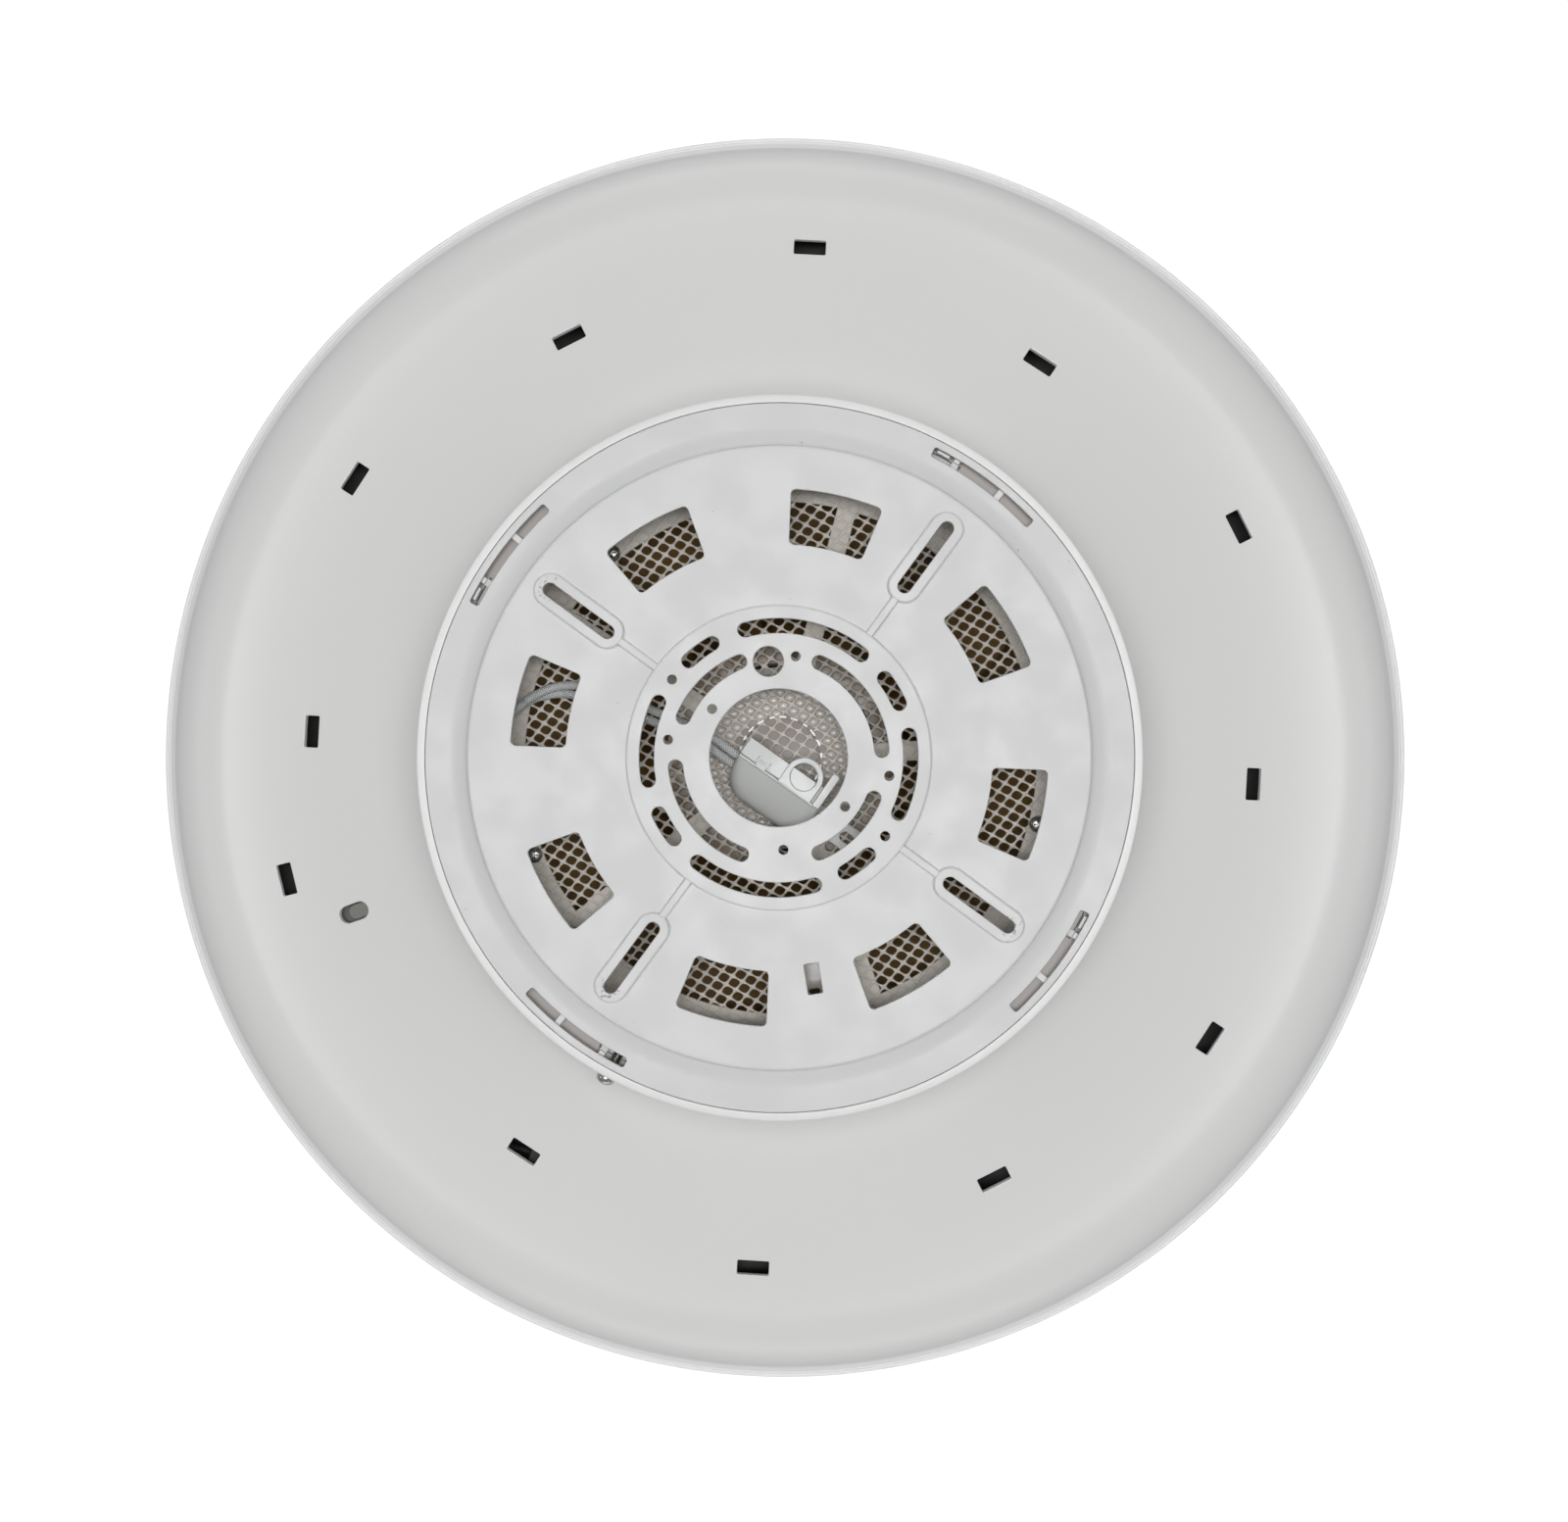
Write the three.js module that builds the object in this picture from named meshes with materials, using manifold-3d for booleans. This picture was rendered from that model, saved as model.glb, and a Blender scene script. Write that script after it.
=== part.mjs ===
// Flush-mount fan light: a bell-shaped ceiling fixture whose housing twists onto a ceiling plate.
// Millimetres, +Z up towards the ceiling. The origin is the centre of the ceiling plate's top face,
// so everything hangs below z = 0. Angles are in degrees, anticlockwise seen from above.
import * as THREE from "three";
import { mergeVertices } from "three/addons/utils/BufferGeometryUtils.js";
import Module from "manifold-3d";

const wasm = await Module();
wasm.setup();

// ---------------------------------------------------------------- driving dimensions
const GAP = 0.4; // clearance between pieces that rest on each other
const ROUND = 40; // facets of a large ring
const FINE = 24; // facets of a middle-sized ring
const SMALL = 12; // facets of a shaft or a lead's hole
const SCREW = 8; // facets of a screw or its hole
const ARC_STEP = 14; // degrees between the points of a wide arc

// ceiling plate
const PLATE_R = 120.6;
const FIELD_R = 105.4; // raised field inside the rim
const DISC_R = 51.4; // raised centre disc
const CABLE_HOLE_R = 23.3;
const FIELD_Z = -3;
const RIM_Z = -8;
const PLATE_T = 2.4;
const BOSS_ANGLE = 53.7; // first of four screw bosses, 90 degrees apart
const BOSS_R = 83.8;
const BOSS_SIZE = [35, 11.4];
const BOSS_SLOT = [28.9, 4.7];
const WINDOW_R = [72.3, 91.0];
const WINDOW_HALF = 10;
const WINDOW_OFFSET = 23.6; // from the nearest boss
const BAYONET_ANGLE = 53.1; // first of four bayonet slots, 90 degrees apart
const BAYONET_HALF = 10.2;
const BAYONET_R = [114.6, 118.1];
const SKIRT_R = [111.4, 113.6];
const SKIRT_Z = -21;
const LEDGE_R = 116.8;
const LEDGE_TOP = -19;
const STOP = [5.3, 6.5]; // end stop on each ledge, in degrees past the slot's middle
const STOP_TOP = -17;
const SMALL_BOX_R = 34.9; // screw slots for a 2 3/4 inch ceiling box
const LARGE_BOX_R = 44.6; // screw slots for a 3 1/2 inch ceiling box
const SMALL_BOX_SLOTS = [[0, 71], [108, 161], [181, 253], [289, 341]];
const LARGE_BOX_SLOTS = [
  [48, 108], [117, 136], [152, 193], [202, 221], [229, 289], [297, 316], [332, 373], [21, 40],
];
const PILOT_HOLES = [ // radius from the centre, angle
  [27.8, 143.7], [27.8, 323.7], [31.1, 273], [34.7, 80.4],
  [37.8, 170.7], [37.8, 350.7], [44.6, 143.7], [44.6, 323.7],
];

// housing
const NECK_R = 123.7;
const WALL = 2.4;
const FLARE_TOP = -19; // where the neck starts to flare
const SHOULDER = [198, -52];
const ROLL = [22, 20]; // half axes of the rounded edge outside the shoulder
const LIP_R = 223.2;
const LIP_Z = [-72.2, -75];
const VENT = [11.3, 5.2];
const VENT_OUTER_R = 181.3;
const VENT_INNER_R = 167;
const VENT_OUTER_ANGLES = [26.8, 86.8, 146.8, 193.8, 266.8, 326.8]; // the fourth is keyed
const VENT_INNER_ANGLES = [56.8, 116.8, 176.8, 236.8, 296.8, 356.8];
const SELECTOR_R = 161.2;
const SELECTOR_ANGLE = 199.9;
const SELECTOR_SLOT = [11.4, 6.2];
const SELECTOR_TRAVEL = 2.4;
const LOCK_ANGLE = 241.5;
const LOCK_Z = -14.6;

// fan
const GUARD_R = 118;
const GUARD_Z = [-35.6, -37.8];
const GUARD_STEP = 2.4; // drop of the guard's middle, which the motor hangs from
const SPOKE_ANGLE = 3; // first of five spokes, 72 degrees apart
const SPOKE_W = 6.6;
const OPEN_R = 89.4; // edge of the perforated field
const GUARD_SCREW_ANGLE = 57.5;
const GUARD_SCREW_R = 92.6;
const MOTOR_SCREW_ANGLE = -5; // first of three
const MOTOR_SCREW_R = 28.6;
const DUCT_R = [107, 109.4];
const FRONT_SCREW_R = 104.9;
const FLANGE_SCREW_R = 114.8;
const MOTOR_LEAD_SPOKE = 219; // the spoke that the motor's lead runs under
const BLADES = 9;
const BLADE_R = [43.5, 100];
const HUB_R = 43;
const ROTOR_TOP = -46.6;

// light
const TRAY_Z = [-76, -77.5];
const TRIM_R = 225;
const FRONT_Z = -112;

// terminal box: a frame of its own, u along the box and w across it
const BOX_ANGLE = -35;
const BOX_U = [-12.2, 21.1];
const BOX_FRONT = 20; // how far the box reaches along w at its foot
const BOX_CORNER = 10; // rounding of its front corner beside the supply leads
const BOX_WALL = 1.6;
const LID_W = [-0.3, 6.2];
const PULL_AT = [10.7, 0.6]; // middle of the lid's pull tab, in u and w
const PULL_R = [4.7, 6.7];
const WIRE_WAYS = [-3.5, 5, 13.5]; // the terminals' places along u
const TERMINAL_W = 6;
const LEAD_AT = { w: 9.4, z: -26.5, pitch: 3.5, radius: 1.5 }; // where the supply leads enter

// ---------------------------------------------------------------- helpers
const rad = THREE.MathUtils.degToRad;
const polar = (r, a) => new THREE.Vector2(r * Math.cos(rad(a)), r * Math.sin(rad(a)));
const times = (n, make) => Array.from({ length: n }, (_, i) => make(i));

// A closed geometry as a solid that can be cut and joined.
function solid(geometry) {
  const bare = geometry.clone();
  bare.deleteAttribute("normal");
  bare.deleteAttribute("uv");
  const merged = mergeVertices(bare, 1e-4);
  return new wasm.Manifold(new wasm.Mesh({
    numProp: 3,
    vertProperties: merged.attributes.position.array,
    triVerts: new Uint32Array(merged.index.array),
  }));
}

function geometryOf(body) {
  const mesh = body.getMesh();
  const geometry = new THREE.BufferGeometry();
  geometry.setAttribute("position", new THREE.BufferAttribute(new Float32Array(mesh.vertProperties), 3));
  geometry.setIndex(new THREE.BufferAttribute(new Uint32Array(mesh.triVerts), 1));
  geometry.computeVertexNormals();
  return geometry;
}

const join = (first, ...rest) => rest.reduce((all, one) => all.add(one), first);
const cut = (first, ...rest) => rest.reduce((all, one) => all.subtract(one), first);

// A profile of [radius, z] points, anticlockwise with the radius to the right, turned about Z.
function turned(points, facets = ROUND) {
  const outline = points.map(([r, z]) => new THREE.Vector2(r, z));
  if (points.every(([r]) => r > 0)) outline.push(outline[0].clone());
  return solid(new THREE.LatheGeometry(outline, facets).rotateX(Math.PI / 2));
}

const disc = (r, z0, z1, facets = FINE) => turned([[0, z0], [r, z0], [r, z1], [0, z1]], facets);
const ring = (r0, r1, z0, z1, facets = ROUND) =>
  turned([[r0, z0], [r1, z0], [r1, z1], [r0, z1]], facets);

// Points of an arc about [x, y].
function arc(x, y, r, a0, a1, steps = Math.ceil(Math.abs(a1 - a0) / ARC_STEP)) {
  return times(steps + 1, (i) => {
    const a = rad(a0 + ((a1 - a0) * i) / steps);
    return new THREE.Vector2(x + r * Math.cos(a), y + r * Math.sin(a));
  });
}

// A flat outline raised from z0 to z1.
function raised(points, z0, z1) {
  const outline = points.filter((p, i) => p.distanceTo(points.at(i - 1)) > 1e-4);
  const options = { depth: z1 - z0, bevelEnabled: false };
  return solid(new THREE.ExtrudeGeometry(new THREE.Shape(outline), options).translate(0, 0, z0));
}

// Outline of a slot with round ends, centred at radius r and turned so that it runs along the radius.
function stadium(length, width, r, angle) {
  const half = (length - width) / 2;
  const end = (side) => polar(r + side * half, angle).toArray();
  return [
    ...arc(...end(1), width / 2, angle - 90, angle + 90, 4),
    ...arc(...end(-1), width / 2, angle + 90, angle + 270, 4),
  ];
}

// Outline of a slot bent round the centre; a0 and a1 are where its round ends reach.
function bentSlot(r, width, a0, a1) {
  const h = width / 2;
  const inset = THREE.MathUtils.radToDeg(h / r);
  const [b0, b1] = [a0 + inset, a1 - inset];
  return [
    ...arc(0, 0, r + h, b0, b1),
    ...arc(...polar(r, b1).toArray(), h, b1, b1 + 180, 4),
    ...arc(0, 0, r - h, b1, b0),
    ...arc(...polar(r, b0).toArray(), h, b0 + 180, b0 + 360, 4),
  ];
}

// Outline of a piece of a flat ring.
const sector = (r0, r1, a0, a1) => [...arc(0, 0, r1, a0, a1), ...arc(0, 0, r0, a1, a0)];

// A block centred at [x, y], from z0 to z1, turned about its centre.
function block(x, y, length, width, z0, z1, angle = 0) {
  const box = new THREE.BoxGeometry(length, width, z1 - z0).rotateZ(rad(angle));
  return solid(box.translate(x, y, (z0 + z1) / 2));
}

const blockAt = (r, angle, length, width, z0, z1) =>
  block(...polar(r, angle).toArray(), length, width, z0, z1, angle);

const rod = (x, y, r, z0, z1, facets = SCREW) =>
  solid(new THREE.CylinderGeometry(r, r, z1 - z0, facets).rotateX(Math.PI / 2)
    .translate(x, y, (z0 + z1) / 2));

const part = new THREE.Group();

function add(name, body, color, roughness = 0.5, metalness = 0) {
  const material = new THREE.MeshStandardMaterial({ color, roughness, metalness });
  const mesh = new THREE.Mesh(geometryOf(body), material);
  mesh.name = name;
  part.add(mesh);
  return mesh;
}

const WHITE = "#dcdcda";
const WARM_WHITE = "#d8d6d0";
const STEEL = "#a9aaa8";
const COPPER = "#a8602c";
const GREEN = "#2c6a45";
const BROWN = "#5c4426";

// ---------------------------------------------------------------- ceiling plate
function mountingPlate() {
  const under = FIELD_Z - PLATE_T;
  const rimUnder = RIM_Z - PLATE_T;
  let plate = turned([
    [CABLE_HOLE_R, -2.6], [DISC_R - 2.8, -2.6], [DISC_R - 2.2, under],
    [FIELD_R - 1.6, under], [109, rimUnder], [SKIRT_R[0], rimUnder],
    [SKIRT_R[0], SKIRT_Z], [SKIRT_R[1], SKIRT_Z], [SKIRT_R[1], rimUnder],
    [PLATE_R, rimUnder], [PLATE_R, RIM_Z],
    [111.8, RIM_Z], [108.6, RIM_Z + 1.2], [FIELD_R + 0.9, FIELD_Z - 0.8],
    [FIELD_R, FIELD_Z], [DISC_R + 0.8, FIELD_Z], [DISC_R, -0.6], [DISC_R - 0.6, 0],
    [CABLE_HOLE_R, 0],
  ]);
  for (const k of [0, 1, 2, 3]) {
    const boss = BOSS_ANGLE + 90 * k;
    const bayonet = BAYONET_ANGLE + 90 * k;
    const spokeEnd = BOSS_R - BOSS_SIZE[0] / 2 + 2;
    plate = join(
      plate,
      raised(stadium(...BOSS_SIZE, BOSS_R, boss), FIELD_Z - 0.5, 0),
      blockAt((DISC_R + spokeEnd) / 2 - 1, boss, spokeEnd - DISC_R + 2, 2.6, FIELD_Z - 0.5, 0),
      raised(sector(SKIRT_R[1] - 0.8, LEDGE_R, bayonet - 9.8, bayonet + STOP[1]), SKIRT_Z, LEDGE_TOP),
      raised(sector(SKIRT_R[1] - 0.8, LEDGE_R, bayonet + STOP[0], bayonet + STOP[1]), SKIRT_Z, STOP_TOP),
    );
  }
  const holes = [
    ...SMALL_BOX_SLOTS.map(([a, b]) => bentSlot(SMALL_BOX_R, 5, a, b)),
    ...LARGE_BOX_SLOTS.map(([a, b]) => bentSlot(LARGE_BOX_R, 5, a, b)),
    ...times(4, (k) => stadium(...BOSS_SLOT, BOSS_R, BOSS_ANGLE + 90 * k)),
  ].map((shape) => raised(shape, -30, 5));
  const windows = times(8, (i) => {
    const middle = BOSS_ANGLE + 90 * Math.floor(i / 2) + (i % 2 ? 1 : -1) * WINDOW_OFFSET;
    return raised(sector(...WINDOW_R, middle - WINDOW_HALF, middle + WINDOW_HALF), -30, 5);
  });
  const bayonets = times(4, (k) => {
    const middle = BAYONET_ANGLE + 90 * k;
    const outline = sector(...BAYONET_R, middle - BAYONET_HALF, middle + BAYONET_HALF);
    return raised(outline, rimUnder - 1, 5);
  });
  const pilots = PILOT_HOLES.map(([r, a]) => rod(...polar(r, a).toArray(), 1.65, -30, 5));
  return cut(
    plate, ...holes, ...windows, ...bayonets, ...pilots,
    rod(...polar(32.7, 96).toArray(), 5.15, -30, 5, SMALL),
    blockAt(75.6, 278.9, 10.5, 5.1, -30, 5),
  );
}

// ---------------------------------------------------------------- housing
// Points of a quarter ellipse about [r, z], from angle a0 to a1.
const ellipse = (r, z, p, q, a0, a1, n) => times(n + 1, (i) => {
  const a = rad(a0 + ((a1 - a0) * i) / n);
  return [r + p * Math.cos(a), z + q * Math.sin(a)];
});

function topHousing() {
  const flare = [SHOULDER[0] - NECK_R, FLARE_TOP - SHOULDER[1]];
  const rollCentre = [SHOULDER[0], SHOULDER[1] - ROLL[1]];
  const flareSteps = 7;
  let shell = turned([
    // underside, from the neck outwards
    [NECK_R - WALL - 0.2, RIM_Z - 0.2],
    ...ellipse(SHOULDER[0], FLARE_TOP, flare[0] + WALL + 0.2, flare[1] + WALL, 180, 270, flareSteps),
    ...ellipse(...rollCentre, ROLL[0] - WALL, ROLL[1] - WALL, 75, 12, 3),
    [rollCentre[0] + ROLL[0] - WALL, LIP_Z[1]],
    [LIP_R, LIP_Z[1]],
    [LIP_R, LIP_Z[0] - 0.4],
    [LIP_R - 0.5, LIP_Z[0]],
    // outer surface, back up to the neck
    ...ellipse(...rollCentre, ...ROLL, 8, 90, 4),
    ...ellipse(SHOULDER[0], FLARE_TOP, ...flare, 260, 180, flareSteps - 1),
    [NECK_R, RIM_Z - 0.7],
    [NECK_R - 0.5, RIM_Z - 0.2],
  ]);
  const inside = NECK_R - WALL - 0.2;
  for (const k of [0, 1, 2, 3]) {
    const middle = BAYONET_ANGLE + 90 * k;
    const tab = sector(114.1, inside + 0.8, middle - 9.6, middle + 4.6);
    const lug = sector(117.2, inside + 0.8, middle + 6.4, middle + 10.2);
    const rib = blockAt((114.6 + inside) / 2 + 0.3, middle - 3.6, inside - 114.6 + 0.8, 1.4, -17, -12.6);
    shell = join(shell, raised(tab, -18.6, -15.6), raised(lug, -18.6, -11), rib);
  }
  for (const k of [0, 1, 2, 3]) { // pillars that carry the tray
    shell = join(shell, rod(...polar(193, 41 + 90 * k).toArray(), 4.2, TRAY_Z[0] + GAP, -53));
  }
  const vents = [
    ...VENT_OUTER_ANGLES.map((a) => blockAt(VENT_OUTER_R, a, VENT[1], VENT[0], -60, -40)),
    ...VENT_INNER_ANGLES.map((a) => blockAt(VENT_INNER_R, a, VENT[1], VENT[0], -60, -40)),
  ];
  const holder = cut( // walls that hold the selector switch
    blockAt(SELECTOR_R, SELECTOR_ANGLE, 22, 14, -60, -49.5),
    blockAt(SELECTOR_R, SELECTOR_ANGLE, 19.8, 11.8, -61, -40),
  );
  shell = join(shell, holder);
  const lockHole = solid(new THREE.CylinderGeometry(2.4, 2.4, 14, SMALL)
    .rotateZ(Math.PI / 2).translate(120, 0, LOCK_Z).rotateZ(rad(LOCK_ANGLE)));
  const pilots = times(4, (k) => rod(...polar(193, 41 + 90 * k).toArray(), 2, -80, -60));
  return cut(
    shell, ...vents, lockHole, ...pilots,
    raised(stadium(...SELECTOR_SLOT, SELECTOR_R, SELECTOR_ANGLE), -60, -40),
  );
}

// A pan-head screw standing along +Z, its shank's end at z = 0 and its head on top.
function screw(shankR, length, headR, headT, facets = SCREW) {
  return turned([
    [0, 0], [shankR, shankR], [shankR, length],
    [headR, length], [headR, length + headT * 0.55], [headR * 0.55, length + headT],
    [0, length + headT],
  ], facets);
}

const placed = (body, x, y, z) => body.translate([x, y, z]);
const upsideDown = (body) => body.rotate([180, 0, 0]);

function lockScrew() {
  const [shank, head] = [9.8, 2.8];
  return screw(1.9, shank, 3.2, head, SMALL)
    .rotate([0, 90, 0])
    .translate([114.3, 0, LOCK_Z])
    .rotate([0, 0, LOCK_ANGLE]);
}

// ---------------------------------------------------------------- colour selector
function selectorBody() {
  const deck = -55.4; // top of the switch body, under the wall
  const body = blockAt(SELECTOR_R, SELECTOR_ANGLE, 19, 11, deck - 6, deck);
  const well = blockAt(SELECTOR_R, SELECTOR_ANGLE, 13, 5.4, deck - 4, deck + 1);
  return cut(body, well);
}

function selectorKnob() {
  const [length, width] = [SELECTOR_SLOT[0] - SELECTOR_TRAVEL - 0.5, SELECTOR_SLOT[1] - 0.8];
  const r = SELECTOR_R - SELECTOR_TRAVEL / 2;
  return join(
    raised(stadium(length, width, r, SELECTOR_ANGLE), -54.6, -49.6),
    blockAt(r, SELECTOR_ANGLE, 5, 4.2, -58.6, -54),
  );
}

// ---------------------------------------------------------------- rear guard and duct
function rearGuard() {
  const [top, bottom] = GUARD_Z;
  let guard = turned([
    [0, bottom - GUARD_STEP], [14, bottom - GUARD_STEP], [15.6, bottom], [GUARD_R, bottom],
    [GUARD_R, top], [15.6, top], [14, top - GUARD_STEP], [0, top - GUARD_STEP],
  ]);
  const openings = times(5, (i) => {
    const from = SPOKE_ANGLE + 72 * i;
    return [[33, 60], [62, OPEN_R]].map(([r0, r1]) => {
      const edge = THREE.MathUtils.radToDeg(SPOKE_W / 2 / ((r0 + r1) / 2));
      return raised(sector(r0, r1, from + edge, from + 72 - edge), bottom - 1, top + 1);
    });
  }).flat();
  guard = cut(guard, ...openings);
  const ribs = times(5, (i) => blockAt(60, SPOKE_ANGLE + 72 * i, 52, 2.6, bottom - 5, bottom + 0.5));
  guard = join(guard, ...ribs);
  const screwHoles = times(5, (i) =>
    rod(...polar(GUARD_SCREW_R, GUARD_SCREW_ANGLE + 72 * i).toArray(), 1.9, -60, -30));
  const motorHoles = times(3, (i) =>
    rod(...polar(MOTOR_SCREW_R, MOTOR_SCREW_ANGLE + 120 * i).toArray(), 1.8, -60, -30));
  return cut(guard, ...screwHoles, ...motorHoles);
}

function fanDuct() {
  const top = GUARD_Z[1] - GAP;
  const duct = turned([
    [OPEN_R + 0.6, top - 2.4], [DUCT_R[0], top - 2.4], [DUCT_R[0], -95.6], [DUCT_R[1], -95.6],
    [DUCT_R[1], -80], [118.4, -80], [118.4, -78], [DUCT_R[1], -78],
    [DUCT_R[1], top], [OPEN_R + 0.6, top],
  ], 32);
  const bosses = times(3, (i) =>
    rod(...polar(FRONT_SCREW_R, 30 + 120 * i).toArray(), 3.2, -95.6, -84));
  const holes = [
    ...times(5, (i) => rod(...polar(GUARD_SCREW_R, GUARD_SCREW_ANGLE + 72 * i).toArray(), 1.9, -60, -30)),
    ...times(3, (i) => rod(...polar(FRONT_SCREW_R, 30 + 120 * i).toArray(), 1.8, -100, -87)),
    ...times(3, (i) => rod(...polar(FLANGE_SCREW_R, 90 + 120 * i).toArray(), 1.8, -90, -70)),
    block(...spokePoint(99).toArray(), 26, 3, -44, -30, MOTOR_LEAD_SPOKE),
  ];
  return cut(join(duct, ...bosses), ...holes);
}

// ---------------------------------------------------------------- motor
function motorBase() {
  const top = GUARD_Z[1] - GUARD_STEP - GAP;
  const base = turned([
    [8.3, -73], [11, -73], [11, -43.2], [32, -43.2], [32, top], [8.3, top],
  ], FINE);
  const pilots = times(3, (i) =>
    rod(...polar(MOTOR_SCREW_R, MOTOR_SCREW_ANGLE + 120 * i).toArray(), 1.7, -60, -30));
  return cut(base, ...pilots, rod(...motorLeadDrop().toArray(), 3, -60, -30));
}

function statorCore() {
  const [outer, toothW, teeth] = [32, 5, 9];
  let core = ring(11.4, 17, -68, -54, FINE);
  for (let i = 0; i < teeth; i += 1) {
    const a = (360 / teeth) * i;
    core = join(
      core,
      blockAt(22.5, a, 13, toothW, -68, -54),
      raised(sector(28.6, outer, a - 16, a + 16), -68, -54),
    );
  }
  return core;
}

function statorWindings() {
  const teeth = 9;
  let coils = ring(13, 19, -53.7, -52.4, FINE);
  for (let i = 0; i < teeth; i += 1) {
    const a = (360 / teeth) * i;
    const coil = blockAt(22.4, a, 10.4, 10, -71, -51);
    const core = blockAt(22.4, a, 13, 5.6, -68.3, -53.7);
    coils = join(coils, cut(coil, core));
  }
  return cut(coils, ring(17, 17.35, -72, -53.8, FINE), ring(28.3, 34, -72, -50, FINE));
}

function motorBoard() {
  const board = ring(13.4, 30, -47.6, -46.2, FINE);
  const chips = [85, 175, 265, 355].map((a) => blockAt(22, a, 6, 6, -46.4, -44.8));
  return join(board, ...chips);
}

const bearing = (z) => turned([
  [4.4, z - 5], [7.9, z - 5], [7.9, z], [7.1, z], [6.9, z - 0.3], [5.3, z - 0.3], [5.1, z],
  [4.4, z],
], 16);

// ---------------------------------------------------------------- rotor
function impeller() {
  const top = ROTOR_TOP;
  const wall = 2.2;
  let fan = turned([
    [10, -83.8], [HUB_R - 3, -83.8], [HUB_R, -80.6], [HUB_R, top], [33.5, top],
    [33.5, top - wall], [HUB_R - wall, top - wall], [HUB_R - wall, -81.4], [10, -81.4],
  ], FINE);
  for (let i = 0; i < BLADES; i += 1) {
    fan = join(fan, blade((360 / BLADES) * i));
  }
  const holes = times(3, (i) => rod(...polar(24, 30 + 120 * i).toArray(), 1.8, -90, -80));
  return cut(fan, ...holes);
}

// One swept and twisted blade: a thin block bent to its place.
function blade(start) {
  const [r0, r1] = [BLADE_R[0] - 1.2, BLADE_R[1]];
  const sheet = new THREE.BoxGeometry(1, 1, 1, 4, 3, 1);
  const at = sheet.attributes.position;
  for (let i = 0; i < at.count; i += 1) {
    const along = at.getX(i) + 0.5;
    const across = at.getY(i);
    const side = at.getZ(i);
    const r = THREE.MathUtils.lerp(r0, r1, along);
    const swing = start + 14 * along * along + across * THREE.MathUtils.lerp(43, 46, along);
    const rise = across * THREE.MathUtils.lerp(29, 20, along);
    const p = polar(r, swing);
    at.setXYZ(i, p.x, p.y, -66 - rise - 3 * Math.cos(Math.PI * across) + side * 2);
  }
  return solid(sheet);
}

function rotorCup() {
  const cup = turned([
    [4.3, -82.6], [9.6, -82.6], [9.6, -81], [38.6, -81], [38.6, -50], [36.6, -50],
    [36.6, -78.8], [4.3, -78.8],
  ], FINE);
  const holes = times(3, (i) => rod(...polar(24, 30 + 120 * i).toArray(), 1.6, -90, -70));
  return cut(cup, ...holes);
}

function motorShaft() {
  return turned([
    [0, -84], [3.4, -84], [4, -83.4], [4, -46], [3.1, -46], [3.1, -45], [4, -45],
    [4, -44.2], [3.5, -43.8], [0, -43.8],
  ], SMALL);
}

const shaftClip = () => cut(
  ring(3.6, 6.4, -45.75, -45.25, SMALL),
  block(5, 0, 6, 3.4, -47, -44),
);

// ---------------------------------------------------------------- light ring
function ledTray() {
  const tray = ring(110.4, 216.6, TRAY_Z[1], TRAY_Z[0]);
  const holes = [
    ...times(4, (k) => rod(...polar(193, 41 + 90 * k).toArray(), 2.1, -90, -70)),
    ...times(3, (i) => rod(...polar(FLANGE_SCREW_R, 90 + 120 * i).toArray(), 1.8, -90, -70)),
    rod(...driverPoint(0, -52).toArray(), 3, -90, -70),
  ];
  return cut(tray, ...holes);
}

const ledBoard = () => ring(140, 184, TRAY_Z[1] - GAP - 1.6, TRAY_Z[1] - GAP, 32);

function diffuser() {
  const [outer, inner, t] = [221.3, 111.2, 2];
  const round = 15;
  const skin = (o, r) => [
    ...ellipse(outer - round, FRONT_Z + round, r, r, 0, -90, 2),
    ...ellipse(inner + round, FRONT_Z + round, r, r, 270, 180, 2),
  ];
  return turned([
    [outer - t, -79.6], ...skin(t, round - t), [inner + t, -84], [inner, -84],
    ...skin(0, round).reverse(), [outer, -79.6],
  ]);
}

function trimRing() {
  return turned([
    [217.2, -79.2], [221.8, -79.2], [221.8, -87], [TRIM_R - 0.6, -87], [TRIM_R, -86.4],
    [TRIM_R, -76], [TRIM_R - 0.6, -75.4], [217.2, -75.4],
  ]);
}

// ---------------------------------------------------------------- front guard
function frontGuard() {
  const [z0, z1] = [-99.2, -96];
  let guard = join(
    ring(102, DUCT_R[1], z0, z1),
    disc(33, z0, z1, FINE),
    ...[[77.6, 79.6], [54.6, 56.6]].map(([a, b]) => ring(a, b, z0, z1, FINE)),
  );
  guard = join(guard, ...times(9, (i) => blockAt(67.5, 40 * i, 71, 2, z0 + 0.3, z1 - 0.3)));
  const holes = times(3, (i) => rod(...polar(FRONT_SCREW_R, 30 + 120 * i).toArray(), 1.8, -110, -90));
  return cut(guard, ...holes, disc(7, z0 - 1, z1 + 1, SMALL));
}

const frontCap = () => cut(
  turned([
    [0, -106.6], [14, -106.2], [24, -104.6], [30, -101.6], [31, -99.6], [0, -99.6],
  ], FINE),
  rod(0, 20, 3.5, -120, -101.6),
);

// ---------------------------------------------------------------- driver
const DRIVER = { r: 163, angle: 250, size: [34, 72], inlet: -66.6 };

// A point of the driver case: out along the radius, and clockwise round the housing.
const driverPoint = (out, round) =>
  polar(DRIVER.r + out, DRIVER.angle).add(polar(round, DRIVER.angle - 90));

// A hole for a lead, through the case's end wall or its inner side wall.
function inlet(out, round, turn) {
  const at = driverPoint(out, round);
  return solid(new THREE.CylinderGeometry(LEAD_AT.radius + 0.4, LEAD_AT.radius + 0.4, 12, SMALL)
    .rotateZ(rad(DRIVER.angle + turn)).translate(at.x, at.y, DRIVER.inlet));
}

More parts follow.
